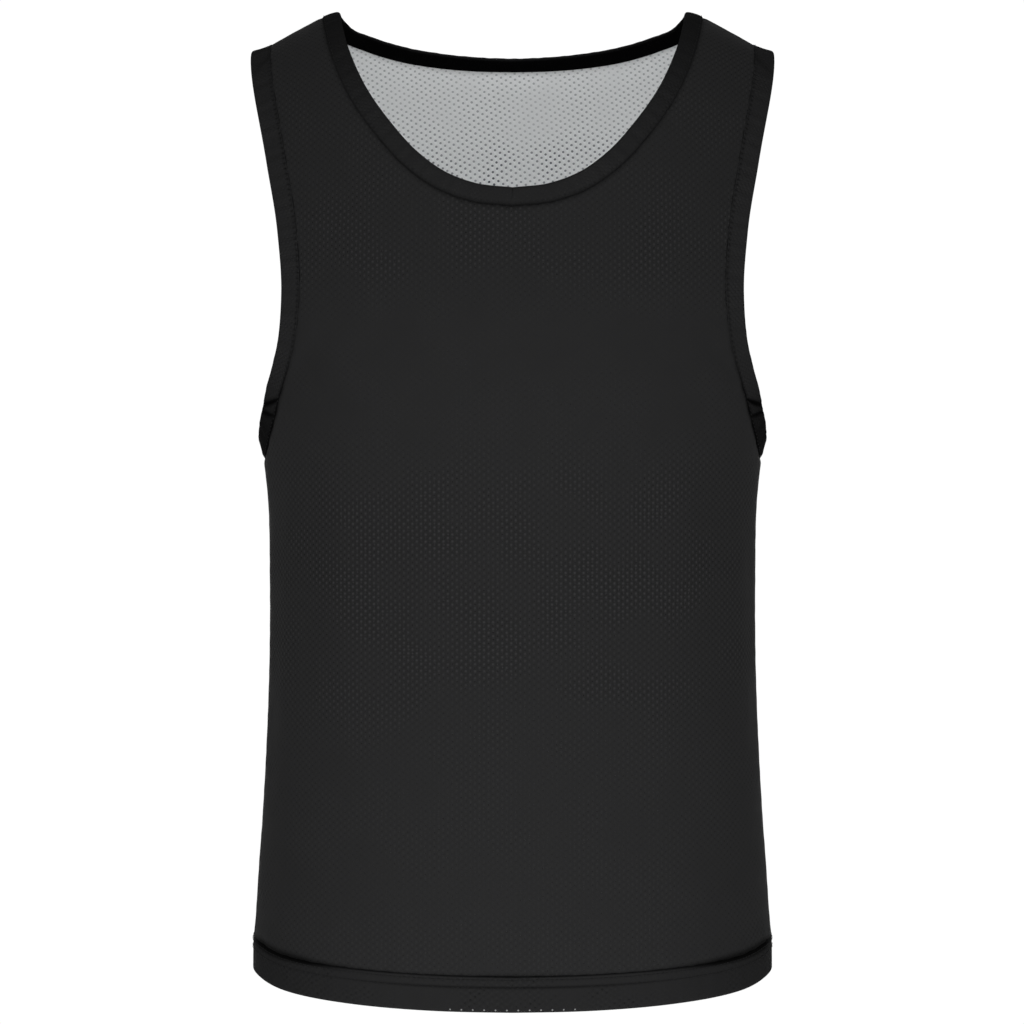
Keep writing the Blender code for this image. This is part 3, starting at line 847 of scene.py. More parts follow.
@dataclass
class MeshPanel:
    """One panel of one layer: a thin shell on the form, sunk along its seams."""

    form: BodyForm
    side: Side
    layer: Layer
    cells: PanelCells
    depth: float = 0.0
    wall: float = 0.0008
    hem_drop: float = 0.0
    pucker: float = 0.00035
    pucker_reach: float = 0.0090
    pucker_length: float = 0.0170
    phase_step: float = 1.3
    billow_reach: float = 0.0110
    full_shade: float = 0.0018
    neck_sink: tuple = rows(
        Ditch,  # place, width, depth
        (0.0, 0.0020, 0.0008), (0.6, 0.0018, 0.0006), (1.0, 0.0018, 0.0006),
    )
    armhole_sink: tuple = rows(
        Ditch,  # place, width, depth
        (0.00, 0.0022, 0.0007), (0.08, 0.0034, 0.0018), (0.17, 0.0032, 0.0016), (0.27, 0.0020, 0.0005),
        (0.45, 0.0018, 0.0002), (1.00, 0.0018, 0.0001),
    )
    hem_sink: tuple = rows(
        Ditch,  # place, width, depth
        (0.0, 0.0020, 0.0009), (18.0, 0.0016, 0.0005), (36.0, 0.0016, 0.0004), (50.0, 0.0022, 0.0010),
        (60.0, 0.0034, 0.0018), (70.0, 0.0044, 0.0022), (76.0, 0.0044, 0.0022), (80.0, 0.0030, 0.0012),
        (83.0, 0.0014, 0.0003), (90.0, 0.0014, 0.0002),
    )
    joined_sink: tuple = rows(
        Ditch,  # place, width, depth
        (0.0, 0.0020, 0.0007), (0.5, 0.0022, 0.0009), (1.0, 0.0018, 0.0007),
    )
    hem_billow: tuple = rows(
        Amount,  # place, value
        (0.0, 0.0003), (35.0, 0.0003), (52.0, 0.0008), (66.0, 0.0016), (80.0, 0.0014), (90.0, 0.0003),
    )

    @property
    def name(self) -> str:
        """Name of the piece."""
        end = "panel" if self.layer is Layer.OUTER else "inner_layer"
        return f"{self.side.name.lower()}_{end}"

    def seam_relief(self, points: Array, spots: Array) -> tuple[Array, Array]:
        """Height and shade near the seams.

        The edge sinks as a bell curve of the distance to the seam, small uneven puckers run along
        it, and the cloth billows over the ends of the hem seam.

        Args:
            points: bare places of the vertices.
            spots: their angles and levels.

        Returns:
            Height along the normal, and painted shade from 0 to 1.
        """
        lines = self.form.half_lines(self.side)
        height, shade = np.zeros(len(points)), np.zeros(len(points))
        right = points[:, 0] >= 0.0
        half_points = np.column_stack([np.abs(points[:, 0]), points[:, 1:]])
        degrees = np.degrees(np.abs(spots[:, 0]))
        seams = ((lines.neck, self.neck_sink), (lines.armhole, self.armhole_sink),
                 (lines.side, self.joined_sink), (lines.shoulder, self.joined_sink),
                 (lines.hem, self.hem_sink))
        for number, (line, table) in enumerate(seams):
            seam = self.form.bare_face(self.side, line[:, 0], line[:, 1])
            away, run = nearest_on_line(half_points, seam)
            width, depth = ditch_at(table, degrees if line is lines.hem else run / run_along(seam)[-1])
            wave = uneven_wave(np.where(right, run, -run), self.pucker_length, self.phase_step * number)
            sunk = bell(away, width)
            height += self.pucker * wave * np.exp(-away / self.pucker_reach) - depth * sunk
            # painted shade: the colour darkens in the sunken seam, more where it sinks deeper
            shade = np.maximum(shade, sunk * np.clip(depth / self.full_shade, 0.0, 1.0))
        billow = amount_at(self.hem_billow, degrees)
        return height + billow * bell(away, self.billow_reach), shade

    def build(self, material: bpy.types.Material) -> bpy.types.Object:
        """Builds the shell: the outer face moved in by its depth, closed by a wall.

        Args:
            material: finish of the cloth.

        Returns:
            The panel's piece.
        """
        grid = PanelCutter(self.form, self.side, self.cells).cut(self.hem_drop)
        points, normal = self.form.face(self.side, grid.spots[:, 0], grid.spots[:, 1])
        height, shade = self.seam_relief(points, grid.spots)
        points = points + (height - self.depth)[:, None] * normal
        points[grid.side_seam, 1] = 0.0
        points[grid.shoulder, 1] = self.form.shoulder_y
        across, up = self.form.cloth_place(self.side, grid.spots[:, 0], grid.spots[:, 1])
        uv = np.stack([across + 0.5, up], axis=-1)
        piece = make_mesh_piece(f"{self.name}_cloth", points, grid.quads.tolist(), uv, shade, material)
        shell = piece.modifiers.new("wall", "SOLIDIFY")
        shell.thickness = self.wall
        shell.offset = -1.0
        shell.use_even_offset = True
        return piece


# ---------------------------------------------------------------- thread
@dataclass(frozen=True)
class Thread:
    """Round thread laid in stitches that dip at both ends."""

    thickness: float = 0.00050
    sides: int = 6
    rings: int = 5
    dip: float = 0.00025
    taper: float = 0.98
    least_girth: float = 0.02
    look_ahead: float = 0.3
    uv_size: float = 0.01

    def stitches(self, name: str, line: Array, normal: Array, pitch: float, length: float, closed: bool,
                 material: bpy.types.Material) -> bpy.types.Object:
        """One row of stitches as a single mesh.

        A stitch is a bulged tube: its radius follows a root of a sine along its length, and its
        ends dip by a parabola.

        Args:
            name: name of the piece.
            line: places that the row follows.
            normal: outward direction at each place.
            pitch: distance from stitch to stitch.
            length: length of a stitch.
            closed: whether the line closes on itself.
            material: finish of the thread.

        Returns:
            The object.
        """
        if closed:
            line, normal = np.vstack([line, line[:1]]), np.vstack([normal, normal[:1]])
        run, numbers = run_along(line), np.arange(len(line), dtype=float)
        total = run[-1]
        count = max(1, round(total / pitch))
        middle = (np.arange(count) + 0.5) / count
        index = np.interp(middle, run / total, numbers)
        ahead = np.interp(middle + self.look_ahead / count, run / total, numbers)
        centre, up = read_rows(line, index), unit(read_rows(normal, index))
        forward = unit(read_rows(line, ahead) - centre)
        sideways = unit(np.cross(up, forward))
        along = np.linspace(-1.0, 1.0, self.rings)
        bulge = np.clip(np.cos(QUARTER_TURN * along * self.taper), self.least_girth, 1.0)
        girth = 0.5 * self.thickness * np.sqrt(bulge)
        round_turn = np.linspace(0.0, TURN, self.sides, endpoint=False)
        lift = girth[:, None] * np.sin(round_turn)[None] - self.dip * along[:, None] ** 2
        spread = girth[:, None] * np.cos(round_turn)[None]
        reach = 0.5 * length * along
        points = (centre[:, None, None] + reach[None, :, None, None] * forward[:, None, None]
                  + spread[None, ..., None] * sideways[:, None, None]
                  + lift[None, ..., None] * up[:, None, None])
        size = self.rings * self.sides
        starts = size * np.arange(count)[:, None, None]
        tube = grid_faces(self.rings, self.sides, ring=False)
        faces = (tube[None] + starts).reshape(-1, 4).tolist()
        caps = np.array([list(range(self.sides)), list(range(size - 1, size - 1 - self.sides, -1))])
        faces += (caps[None] + starts).reshape(-1, self.sides).tolist()
        uv = np.stack([np.repeat(along, self.sides), np.tile(round_turn, self.rings)], axis=-1)
        return make_mesh_piece(name, points.reshape(-1, 3), faces, self.uv_size * np.tile(uv, (count, 1)),
                               np.zeros(count * size), material)


# ---------------------------------------------------------------- bound edges
@dataclass
class BoundEdge:
    """A folded strip that binds an edge: a section carried round the seam."""

    name: str
    width: float
    lean: tuple
    ditch: tuple
    shadow: tuple
    halves: bool
    pinches: tuple = ()
    up_the_front: bool = False
    wall: float = 0.0030
    proud: float = 0.0003
    seam_gap: float = -0.0003
    station_step: float = 0.0010
    top_points: int = 20
    under_points: int = 7
    first_step: float = 0.004
    crowding: float = 0.11
    rounding: float = 0.22
    foot_share: float = 0.8
    needle_reach: float = 0.0013
    needle_groove: float = 0.00055
    needle_width: float = 0.0009
    groove_rest: float = 0.1
    # painted shade of the needle holes, the ditch and the underside
    hole_width: float = 0.0011
    hole_shade: float = 0.75
    full_shade: float = 0.0020
    shade_spread: float = 0.8
    inside_shade: float = 0.80
    stitch_pitch: float = 0.0040
    stitch_length: float = 0.0018
    puff: float = 0.00042
    puff_length: float = 0.0125
    net_pitch: float = 0.0042

    def section(self, ditch_width: Array, ditch_depth: Array) -> tuple[Array, Array, Array]:
        """Section at every station: reach from the seam, height over the middle, and top mask.

        The top rises out of the ditch as one minus a square of the share of the ditch's width,
        runs level, and rounds off to the free edge as a root; the underside mirrors it flat.

        Args:
            ditch_width: width of the ditch at each station.
            ditch_depth: how far its floor lies below the crown.

        Returns:
            Reach, rise and top mask, one row a station.
        """
        share = np.concatenate([[0.0], np.linspace(self.first_step, 1.0, self.top_points - 1)])
        share = share - self.crowding * np.sin(TURN * share) / math.pi
        width, gap, half = self.width, self.seam_gap, 0.5 * self.wall
        reach_top = gap + share * (width - gap)
        crown = half * rounded(width - reach_top, self.rounding * width)
        rise_out = np.clip((reach_top[None] - gap) / ditch_width[:, None], 0.0, 1.0)
        top = crown[None] - ditch_depth[:, None] * (1.0 - rise_out) ** 2
        under_share = np.linspace(1.0, 0.0, self.under_points + 2)[1:-1]
        reach_under = gap + under_share * (width - gap)
        under = -half * rounded(width - reach_under, self.rounding * width)
        reach = np.concatenate([reach_top, reach_under, [gap]])
        count = len(ditch_width)
        rise = np.hstack([top, np.tile(np.append(under, -self.foot_share * half), (count, 1))])
        mask = np.zeros(len(reach))
        mask[:self.top_points] = np.sin(math.pi * np.clip(share, 0.0, 1.0)) ** 0.5
        return np.tile(reach, (count, 1)), rise, mask

    def build(self, seam: Array, normal: Array, material: bpy.types.Material,
              thread: Thread, thread_material: bpy.types.Material) -> list[bpy.types.Object]:
        """Carries the section round the closed seam.

        The band bends steadily away from the cloth, so a point at reach r lies at the arc's chord.

        Args:
            seam: dense points of the seam, closed.
            normal: outward normals there.
            material: finish of the band.
            thread: the thread of its edge stitch.
            thread_material: finish of the thread.

        Returns:
            The band and its stitches.
        """
        closed, closed_normal = np.vstack([seam, seam[:1]]), np.vstack([normal, normal[:1]])
        total = float(run_along(closed)[-1])
        count = round(total / self.station_step)
        index = even_index(closed, 0.0, 1.0, count)[:-1]
        base, up = read_rows(closed, index), unit(read_rows(closed_normal, index))
        along = unit(np.roll(base, -1, axis=0) - np.roll(base, 1, axis=0))
        away = unit(np.cross(up, along))
        run = np.arange(count) * (total / count)
        share = np.arange(count) / count
        share = 1.0 - share if self.up_the_front else share
        place = 1.0 - np.abs(1.0 - 2.0 * share) if self.halves else share
        width, depth = ditch_at(self.ditch, place)
        reach, rise, mask = self.section(width, depth)
        top = mask > 0
        from_needle = reach[0] - self.needle_reach
        needle = 0.5 + 0.5 * np.cos(TURN * run / total * round(total / self.stitch_pitch))
        groove = bell(from_needle, self.needle_width) * top
        pull = self.groove_rest + (1.0 - self.groove_rest) * needle ** 2
        rise = rise - self.needle_groove * pull[:, None] * groove[None]
        puff = self.puff * uneven_wave(run, self.puff_length, 0.8 * len(self.name))
        rise = rise + puff[:, None] * mask[None]
        # each pinch adds painted shade in its fold
        fold = np.zeros(reach.shape)
        for pinch in self.pinches:
            apart = share - pinch.share
            apart = (apart - np.round(apart))[:, None] * total - pinch.slant * reach
            close = bell(apart, pinch.spread)
            fold += pinch.shade * close
            rise = rise - pinch.depth * close * mask[None]
        middle = self.proud - 0.5 * self.wall
        lean = np.radians(read_table(self.lean, "share", "degrees", place))
        bend = lean[:, None] * (reach - self.seam_gap) / self.width
        travelled = (reach - self.seam_gap) * np.sinc(0.5 * bend / math.pi)
        outward = self.seam_gap + travelled * np.cos(0.5 * bend) - rise * np.sin(bend)
        height = middle + travelled * np.sin(0.5 * bend) + rise * np.cos(bend)
        points = base[:, None] + outward[..., None] * away[:, None] + height[..., None] * up[:, None]
        columns = points.shape[1]
        lap = self.net_pitch * round(total / self.net_pitch)
        uv = np.stack([np.tile(run[:, None] * lap / total, (1, columns)),
                       np.where(top, reach, 2.0 * self.width - reach)], axis=-1)
        # painted shade on the top: darker in the seam's ditch and the needle holes, along the shadow table
        # and in the pinched folds
        shade = bell(reach - self.seam_gap, self.shade_spread * width[:, None])
        shade = shade * np.clip(depth / self.full_shade, 0.0, 1.0)[:, None]
        dots = bell(from_needle, self.hole_width)[None] * needle[:, None] ** 3
        dim = np.clip(amount_at(self.shadow, place)[:, None] + fold, 0.0, 1.0)
        shade = np.maximum(np.maximum(shade, self.hole_shade * dots), dim) * top
        # painted shade over the whole underside, which faces into the bib
        shade = np.maximum(shade, np.where(top, 0.0, self.inside_shade))
        piece = make_mesh_piece(f"{self.name}_tape", points.reshape(-1, 3),
                                grid_faces(count, columns, ring=True).tolist(),
                                uv.reshape(-1, 2), shade.reshape(-1), material, lap)
        sewn = int(np.abs(reach[0, :self.top_points] - self.needle_reach).argmin())
        row = points[:, sewn] + (0.4 * self.needle_groove + 0.2 * thread.thickness) * up
        stitches = thread.stitches(f"{self.name}_stitches", row, up, self.stitch_pitch,
                                   self.stitch_length, True, thread_material)
        return [piece, stitches]


# ---------------------------------------------------------------- hems
@dataclass
class TurnedHem:
    """The turned-up lower edge of one side: a flat closed section carried along the hem seam."""

    form: BodyForm
    side: Side
    depth: float = 0.0243
    wall: float = 0.0026
    proud: float = 0.0013
    seam_gap: float = -0.0003
    station_step: float = 0.0018
    needle_lines: tuple = (0.0018, 0.0072)
    needle_groove: float = 0.00040
    needle_width: float = 0.0009
    stitch_pitch: float = 0.0034
    stitch_length: float = 0.0027
    puff: float = 0.00030
    puff_length: float = 0.0210
    top_points: int = 30
    under_points: int = 8
    rounding: float = 0.10
    foot_share: float = 0.48
    middle_reach: float = 0.090
    middle_rest: float = 0.15
    # painted shade: the ditch floor, the needle line and the sides
    full_shade: float = 0.0022
    shade_spread: float = 0.80
    line_shade: float = 0.60
    line_width: float = 0.0008
    side_shade: float = 0.18
    side_start: float = 40.0
    side_reach: float = 30.0
    ditch: tuple = rows(
        Ditch,  # place, width, depth
        (0.0, 0.0012, 0.0016), (18.0, 0.0010, 0.0011), (36.0, 0.0010, 0.0010), (48.0, 0.0016, 0.0014),
        (58.0, 0.0036, 0.0022), (68.0, 0.0050, 0.0024), (76.0, 0.0052, 0.0025), (80.0, 0.0036, 0.0014),
        (83.0, 0.0012, 0.0003), (90.0, 0.0010, 0.0002),
    )

    @property
    def name(self) -> str:
        """Name of the piece."""
        return f"{self.side.name.lower()}_hem"

    def build(self, material: bpy.types.Material, thread: Thread,
              thread_material: bpy.types.Material) -> list[bpy.types.Object]:
        """Carries the section from side seam to side seam.

        The top climbs out of the ditch as a square root, lies level with grooves along the needle
        lines, and rounds to the fold as a quarter ellipse.

        Args:
            material: finish of the hem.
            thread: thread of the stitch lines.
            thread_material: finish of the thread.

        Returns:
            The hem and its stitches.
        """
        form, side, gap, half = self.form, self.side, self.seam_gap, 0.5 * self.wall
        hem = form.half_lines(side).hem
        line = np.concatenate([hem[:0:-1] * np.array([-1.0, 1.0]), hem])
        bare = form.bare_face(side, line[:, 0], line[:, 1])
        count = round(run_along(bare)[-1] / self.station_step)
        spots = read_rows(line, even_index(bare, 0.0, 1.0, count))
        base, up = form.face(side, spots[:, 0], spots[:, 1])
        lower = form.bare_face(side, spots[:, 0], spots[:, 1] - self.depth)
        down = unit(lower - form.bare_face(side, spots[:, 0], spots[:, 1]))
        degrees = np.degrees(np.abs(spots[:, 0]))
        width, sink = ditch_at(self.ditch, degrees)
        run = run_along(base)
        share = np.linspace(0.0, 1.0, self.top_points)
        share = np.where(share < 0.5, 0.5 * (2 * share) ** 1.25, share)
        drop = gap + share * (self.depth - gap)
        climb = np.sqrt(np.clip((drop[None] - gap) / width[:, None], 0.0, 1.0))
        crown = half * rounded(self.depth - drop, self.rounding * self.depth)
        top = crown[None] - sink[:, None] * (1.0 - climb)
        across = form.cloth_place(side, spots[:, 0], spots[:, 1])[0]
        middle = self.middle_rest + (1.0 - self.middle_rest) * bell(np.abs(across), self.middle_reach, 4)
        tug = 0.7 + 0.3 * np.cos(TURN * run / self.stitch_pitch)
        for at in self.needle_lines:
            groove = bell(drop - at, self.needle_width)
            top = top - self.needle_groove * (tug * middle)[:, None] * groove[None]
        body = np.clip(np.sin(math.pi * share), 0.0, 1.0)
        top = top + self.puff * uneven_wave(run, self.puff_length, 2.0 + side.value)[:, None] * body[None]
        under_share = np.linspace(1.0, 0.0, self.under_points + 2)[1:-1]
        drop_under = gap + under_share * (self.depth - gap)
        under = -half * rounded(self.depth - drop_under, self.rounding * self.depth)
        low = np.tile(np.append(under, -self.foot_share * self.wall), (len(base), 1))
        drops = np.concatenate([drop, drop_under, [gap]])
        heights = np.hstack([top, low]) + self.proud - half
        points = base[:, None] + drops[None, :, None] * down[:, None] + heights[..., None] * up[:, None]
        points[[0, -1], :, 1] = 0.0
        columns = points.shape[1]
        last = len(points) * columns - 1
        faces = grid_faces(len(points), columns, ring=False).tolist()
        faces += [list(range(columns)), list(range(last, last - columns, -1))]
        if side is Side.FRONT:
            faces = [face[::-1] for face in faces]
        turned = np.concatenate([drop, 2.0 * self.depth - drop_under, [2.0 * self.depth]])
        uv = np.stack([np.tile(across[:, None] + 0.5, (1, columns)),
                       np.tile(self.depth - turned, (len(base), 1))], axis=-1)
        # painted shade on the top face: the ditch floor, a line along the lower needle groove near the
        # middle, and darker towards the sides
        floor = bell(drops[None] - gap, self.shade_spread * width[:, None], 4)
        shade = floor * np.clip(sink / self.full_shade, 0.0, 1.0)[:, None]
        sewn = self.line_shade * bell(drops - self.needle_lines[1], self.line_width)
        dim = self.side_shade * np.clip((degrees - self.side_start) / self.side_reach, 0.0, 1.0)
        shade = np.maximum(np.maximum(shade, sewn[None] * middle[:, None]), dim[:, None])
        shade = shade * (np.arange(columns) < self.top_points)
        made = [make_mesh_piece(f"{self.name}_fold", points.reshape(-1, 3), faces, uv.reshape(-1, 2),
                                shade.reshape(-1), material)]
        for number, at in enumerate(self.needle_lines):
            place = int(np.abs(drop - at).argmin())
            row = points[2:-2, place] + (0.3 * self.needle_groove + 0.5 * thread.thickness) * up[2:-2]
            made.append(thread.stitches(f"{self.name}_stitches_{number + 1}", row, up[2:-2],
                                        self.stitch_pitch, self.stitch_length, False, thread_material))
        return made


# ---------------------------------------------------------------- shader building
class ShaderSheet:
    """A node tree with short calls for adding and joining nodes."""

    def __init__(self, tree: bpy.types.NodeTree) -> None:
        """Keeps the tree."""
        self.tree = tree

    def add(self, kind: str, **settings: object) -> bpy.types.Node:
        """A new node of a kind, with its settings.

        Args:
            kind: type of the node.
            settings: properties of the node, by name.

        Returns:
            The node.
        """
        node = self.tree.nodes.new(kind)
        for name, value in settings.items():
            setattr(node, name, value)
        return node

    def feed(self, socket: bpy.types.NodeSocket, value: object) -> None:
        """Joins an output to a socket, or sets the socket to a plain value.

        Args:
            socket: input of a node.
            value: an output, or a plain value.
        """
        if isinstance(value, bpy.types.NodeSocket):
            self.tree.links.new(value, socket)
        else:
            socket.default_value = value

    def math(self, operation: str, first: object, second: object = 0.0) -> bpy.types.NodeSocket:
        """Output of a math node.

        Args:
            operation: name of the operation.
            first: an output or a plain value.
            second: the same, where the operation takes two.

        Returns:
            The node's output.
        """
        node = self.add("ShaderNodeMath", operation=operation)
        self.feed(node.inputs[0], first)
        self.feed(node.inputs[1], second)
        return node.outputs[0]

    def ramp(self, value: object, low: object, high: object, to_low: float = 0.0,
             to_high: float = 1.0) -> bpy.types.NodeSocket:
        """A value mapped smoothly from one range to another.

        Args:
            value: an output or a plain value.
            low: value where the ramp starts.
            high: value where the ramp ends.
            to_low: result up to the start.
            to_high: result from the end on.

        Returns:
            The node's output.
        """
        node = self.add("ShaderNodeMapRange", interpolation_type="SMOOTHSTEP")
        for socket, given in zip(node.inputs, (value, low, high, to_low, to_high)):
            self.feed(socket, given)
        return node.outputs[0]

    def blend(self, share: object, first: object, second: object) -> bpy.types.NodeSocket:
        """Colour blended from the first to the second by a share.

        Args:
            share: share of the second colour.
            first: an output or a plain colour.
            second: an output or a plain colour.

        Returns:
            The node's colour output.
        """
        node = self.add("ShaderNodeMix", data_type="RGBA")
        self.feed(node.inputs[0], share)
        self.feed(node.inputs[6], first)
        self.feed(node.inputs[7], second)
        return node.outputs[2]

    def noise(self, place: object, scale: float, detail: float) -> bpy.types.NodeSocket:
        """Noise value at a place.

        Args:
            place: where the noise is read.
            scale: waves in a metre.
            detail: number of finer layers.

        Returns:
            Value from 0 to 1.
        """
        node = self.add("ShaderNodeTexNoise")
        self.feed(node.inputs["Vector"], place)
        node.inputs["Scale"].default_value = scale
        node.inputs["Detail"].default_value = detail
        return node.outputs["Fac"]

    def parts(self, place: object) -> tuple:
        """The three parts of a place.

        Args:
            place: a vector output.

        Returns:
            The outputs for X, Y and Z.
        """
        node = self.add("ShaderNodeSeparateXYZ")
        self.feed(node.inputs[0], place)
        return tuple(node.outputs)

    def group(self, tree: bpy.types.NodeTree, **inputs: object) -> bpy.types.Node:
        """A node of a shared group, with its inputs.

        Args:
            tree: the shared group.
            inputs: an output or a plain value, by input name.

        Returns:
            The node.
        """
        node = self.add("ShaderNodeGroup", node_tree=tree)
        for name, value in inputs.items():
            self.feed(node.inputs[name], value)
        return node

    def bumped(self, height: object, distance: float) -> bpy.types.NodeSocket:
        """The surface's direction, bent by a height.

        Args:
            height: an output, in shares of the distance.
            distance: height of one, in metres.

        Returns:
            The direction, for the shader's normal.
        """
        node = self.add("ShaderNodeBump")
        node.inputs["Strength"].default_value = 1.0
        node.inputs["Distance"].default_value = distance
        self.feed(node.inputs["Height"], height)
        return node.outputs[0]


def new_finish(name: str) -> tuple[bpy.types.Material, ShaderSheet, bpy.types.Node]:
    """A new material, the sheet of its tree, and its shader.

    Args:
        name: name of the material.

    Returns:
        The material, its sheet and its shader.
    """
    material = bpy.data.materials.new(name)
    material.use_nodes = True
    tree = material.node_tree
    return material, ShaderSheet(tree), tree.nodes["Principled BSDF"]


class Effect(Enum):
    """The shared shader effects."""

    EYELET_KNIT = "eyelet_knit"
    YARN_GRAIN = "yarn_grain"


@dataclass(frozen=True)
class KnitShape:
    """Proportions of the eyelet knit and of the yarn's loops, shared by every finish."""

    drift_scale: float = 75.0
    drift_shift: tuple = (3.7, 1.9, 0.4)
    rim: float = 0.12
    knot_low: float = 0.30
    knot_high: float = 0.95
    rib: float = -0.45
    loop_sway: float = 1.1
    loop_height: float = 0.8
    fuzz_scale: float = 2600.0
    fuzz_height: float = 0.5
    patch_scale: float = 24.0


def new_group(effect: Effect, inputs: dict, outputs: dict) -> tuple[ShaderSheet, dict, bpy.types.Node]:
    """A node group with named sockets.

    Args:
        effect: which effect.
        inputs: socket type by name.
        outputs: socket type by name.

    Returns:
        The sheet, its input sockets by name, and its output node.
    """
    tree = bpy.data.node_groups.new(effect.value, "ShaderNodeTree")
    for name, kind in inputs.items():
        tree.interface.new_socket(name=name, in_out="INPUT", socket_type=kind)
    for name, kind in outputs.items():
        tree.interface.new_socket(name=name, in_out="OUTPUT", socket_type=kind)
    sheet = ShaderSheet(tree)
    entry, leave = sheet.add("NodeGroupInput"), sheet.add("NodeGroupOutput")
    return sheet, {name: entry.outputs[name] for name in inputs}, leave


def build_eyelet_knit(shape: KnitShape) -> bpy.types.NodeTree:
    """Staggered eyelets: the product of two cosines is high at each eyelet and low between.

    The cosine across is raised to the square of the ratio of the pitches, so the dots come out round.

    Knots stand half-way between the eyelets, where the product is lowest, and furrows run between
    the columns, as one less the square of the cosine across.

    Inputs are the place on the cloth, the two pitches, the level at which an eyelet opens and how
    uneven the net is. Outputs are the masks of eyelets, knots and furrows, and the knit's height.

    Args:
        shape: proportions of the knit.

    Returns:
        The group.
    """
    sheet, given, leave = new_group(
        Effect.EYELET_KNIT,
        {"Place": "NodeSocketVector", "Across": "NodeSocketFloat", "Up": "NodeSocketFloat",
         "Opening": "NodeSocketFloat", "Uneven": "NodeSocketFloat"},
        {"Eyelet": "NodeSocketFloat", "Knot": "NodeSocketFloat", "Furrow": "NodeSocketFloat",
         "Height": "NodeSocketFloat"})
    parts, waves = sheet.parts(given["Place"]), []
    for axis, pitch in enumerate(("Across", "Up")):
        shift = sheet.add("ShaderNodeVectorMath", operation="ADD")
        sheet.feed(shift.inputs[0], given["Place"])
        shift.inputs[1].default_value = (shape.drift_shift[0] * axis, *shape.drift_shift[1:])
        drift = sheet.math("SUBTRACT", sheet.noise(shift.outputs[0], shape.drift_scale, 1.0), 0.5)
        place = sheet.math("ADD", parts[axis], sheet.math("MULTIPLY", drift, given["Uneven"]))
        turn = sheet.math("MULTIPLY", sheet.math("DIVIDE", place, given[pitch]), TURN)
        waves.append(sheet.math("COSINE", turn))
    ratio = sheet.math("DIVIDE", given["Across"], given["Up"])
    narrow = sheet.math("POWER", sheet.math("ABSOLUTE", waves[0]), sheet.math("MULTIPLY", ratio, ratio))
    net = sheet.math("MULTIPLY", sheet.math("MULTIPLY", sheet.math("SIGN", waves[0]), narrow), waves[1])
    high = sheet.math("ADD", given["Opening"], shape.rim)
    sheet.feed(leave.inputs["Eyelet"], sheet.ramp(net, given["Opening"], high))
    knot = sheet.ramp(sheet.math("MULTIPLY", net, -1.0), shape.knot_low, shape.knot_high)
    sheet.feed(leave.inputs["Knot"], knot)
    column = sheet.math("MULTIPLY", waves[0], waves[0])
    sheet.feed(leave.inputs["Furrow"], sheet.math("SUBTRACT", 1.0, column))
    dome = sheet.ramp(net, -1.0, 0.9, 1.0, 0.0)
    rib = sheet.math("MULTIPLY", column, shape.rib)
    sheet.feed(leave.inputs["Height"], sheet.math("ADD", dome, rib))
    return sheet.tree


def build_yarn_grain(shape: KnitShape) -> bpy.types.NodeTree:
    """Fine loops of yarn: a fast sine across, bent by a slow one up, with broad patchy shade.

    Inputs are the place on the cloth and the loop's size. Outputs are the loops' height and a
    broad patchy value from 0 to 1.

    Args:
        shape: proportions of the yarn's loops.

    Returns:
        The group.
    """
    sheet, given, leave = new_group(
        Effect.YARN_GRAIN,
        {"Place": "NodeSocketVector", "Loop": "NodeSocketFloat"},
        {"Height": "NodeSocketFloat", "Patch": "NodeSocketFloat"})
    parts = sheet.parts(given["Place"])
    across = sheet.math("MULTIPLY", sheet.math("DIVIDE", parts[0], given["Loop"]), TURN)
    up = sheet.math("MULTIPLY", sheet.math("DIVIDE", parts[1], given["Loop"]), 1.3 * math.pi)
    bent = sheet.math("ADD", across, sheet.math("MULTIPLY", sheet.math("SINE", up), shape.loop_sway))
    loops = sheet.math("MULTIPLY", sheet.math("ABSOLUTE", sheet.math("SINE", bent)), shape.loop_height)
    fuzz = sheet.math("MULTIPLY", sheet.noise(given["Place"], shape.fuzz_scale, 2.0), shape.fuzz_height)
    sheet.feed(leave.inputs["Height"], sheet.math("ADD", loops, fuzz))
    sheet.feed(leave.inputs["Patch"], sheet.noise(given["Place"], shape.patch_scale, 3.0))
    return sheet.tree


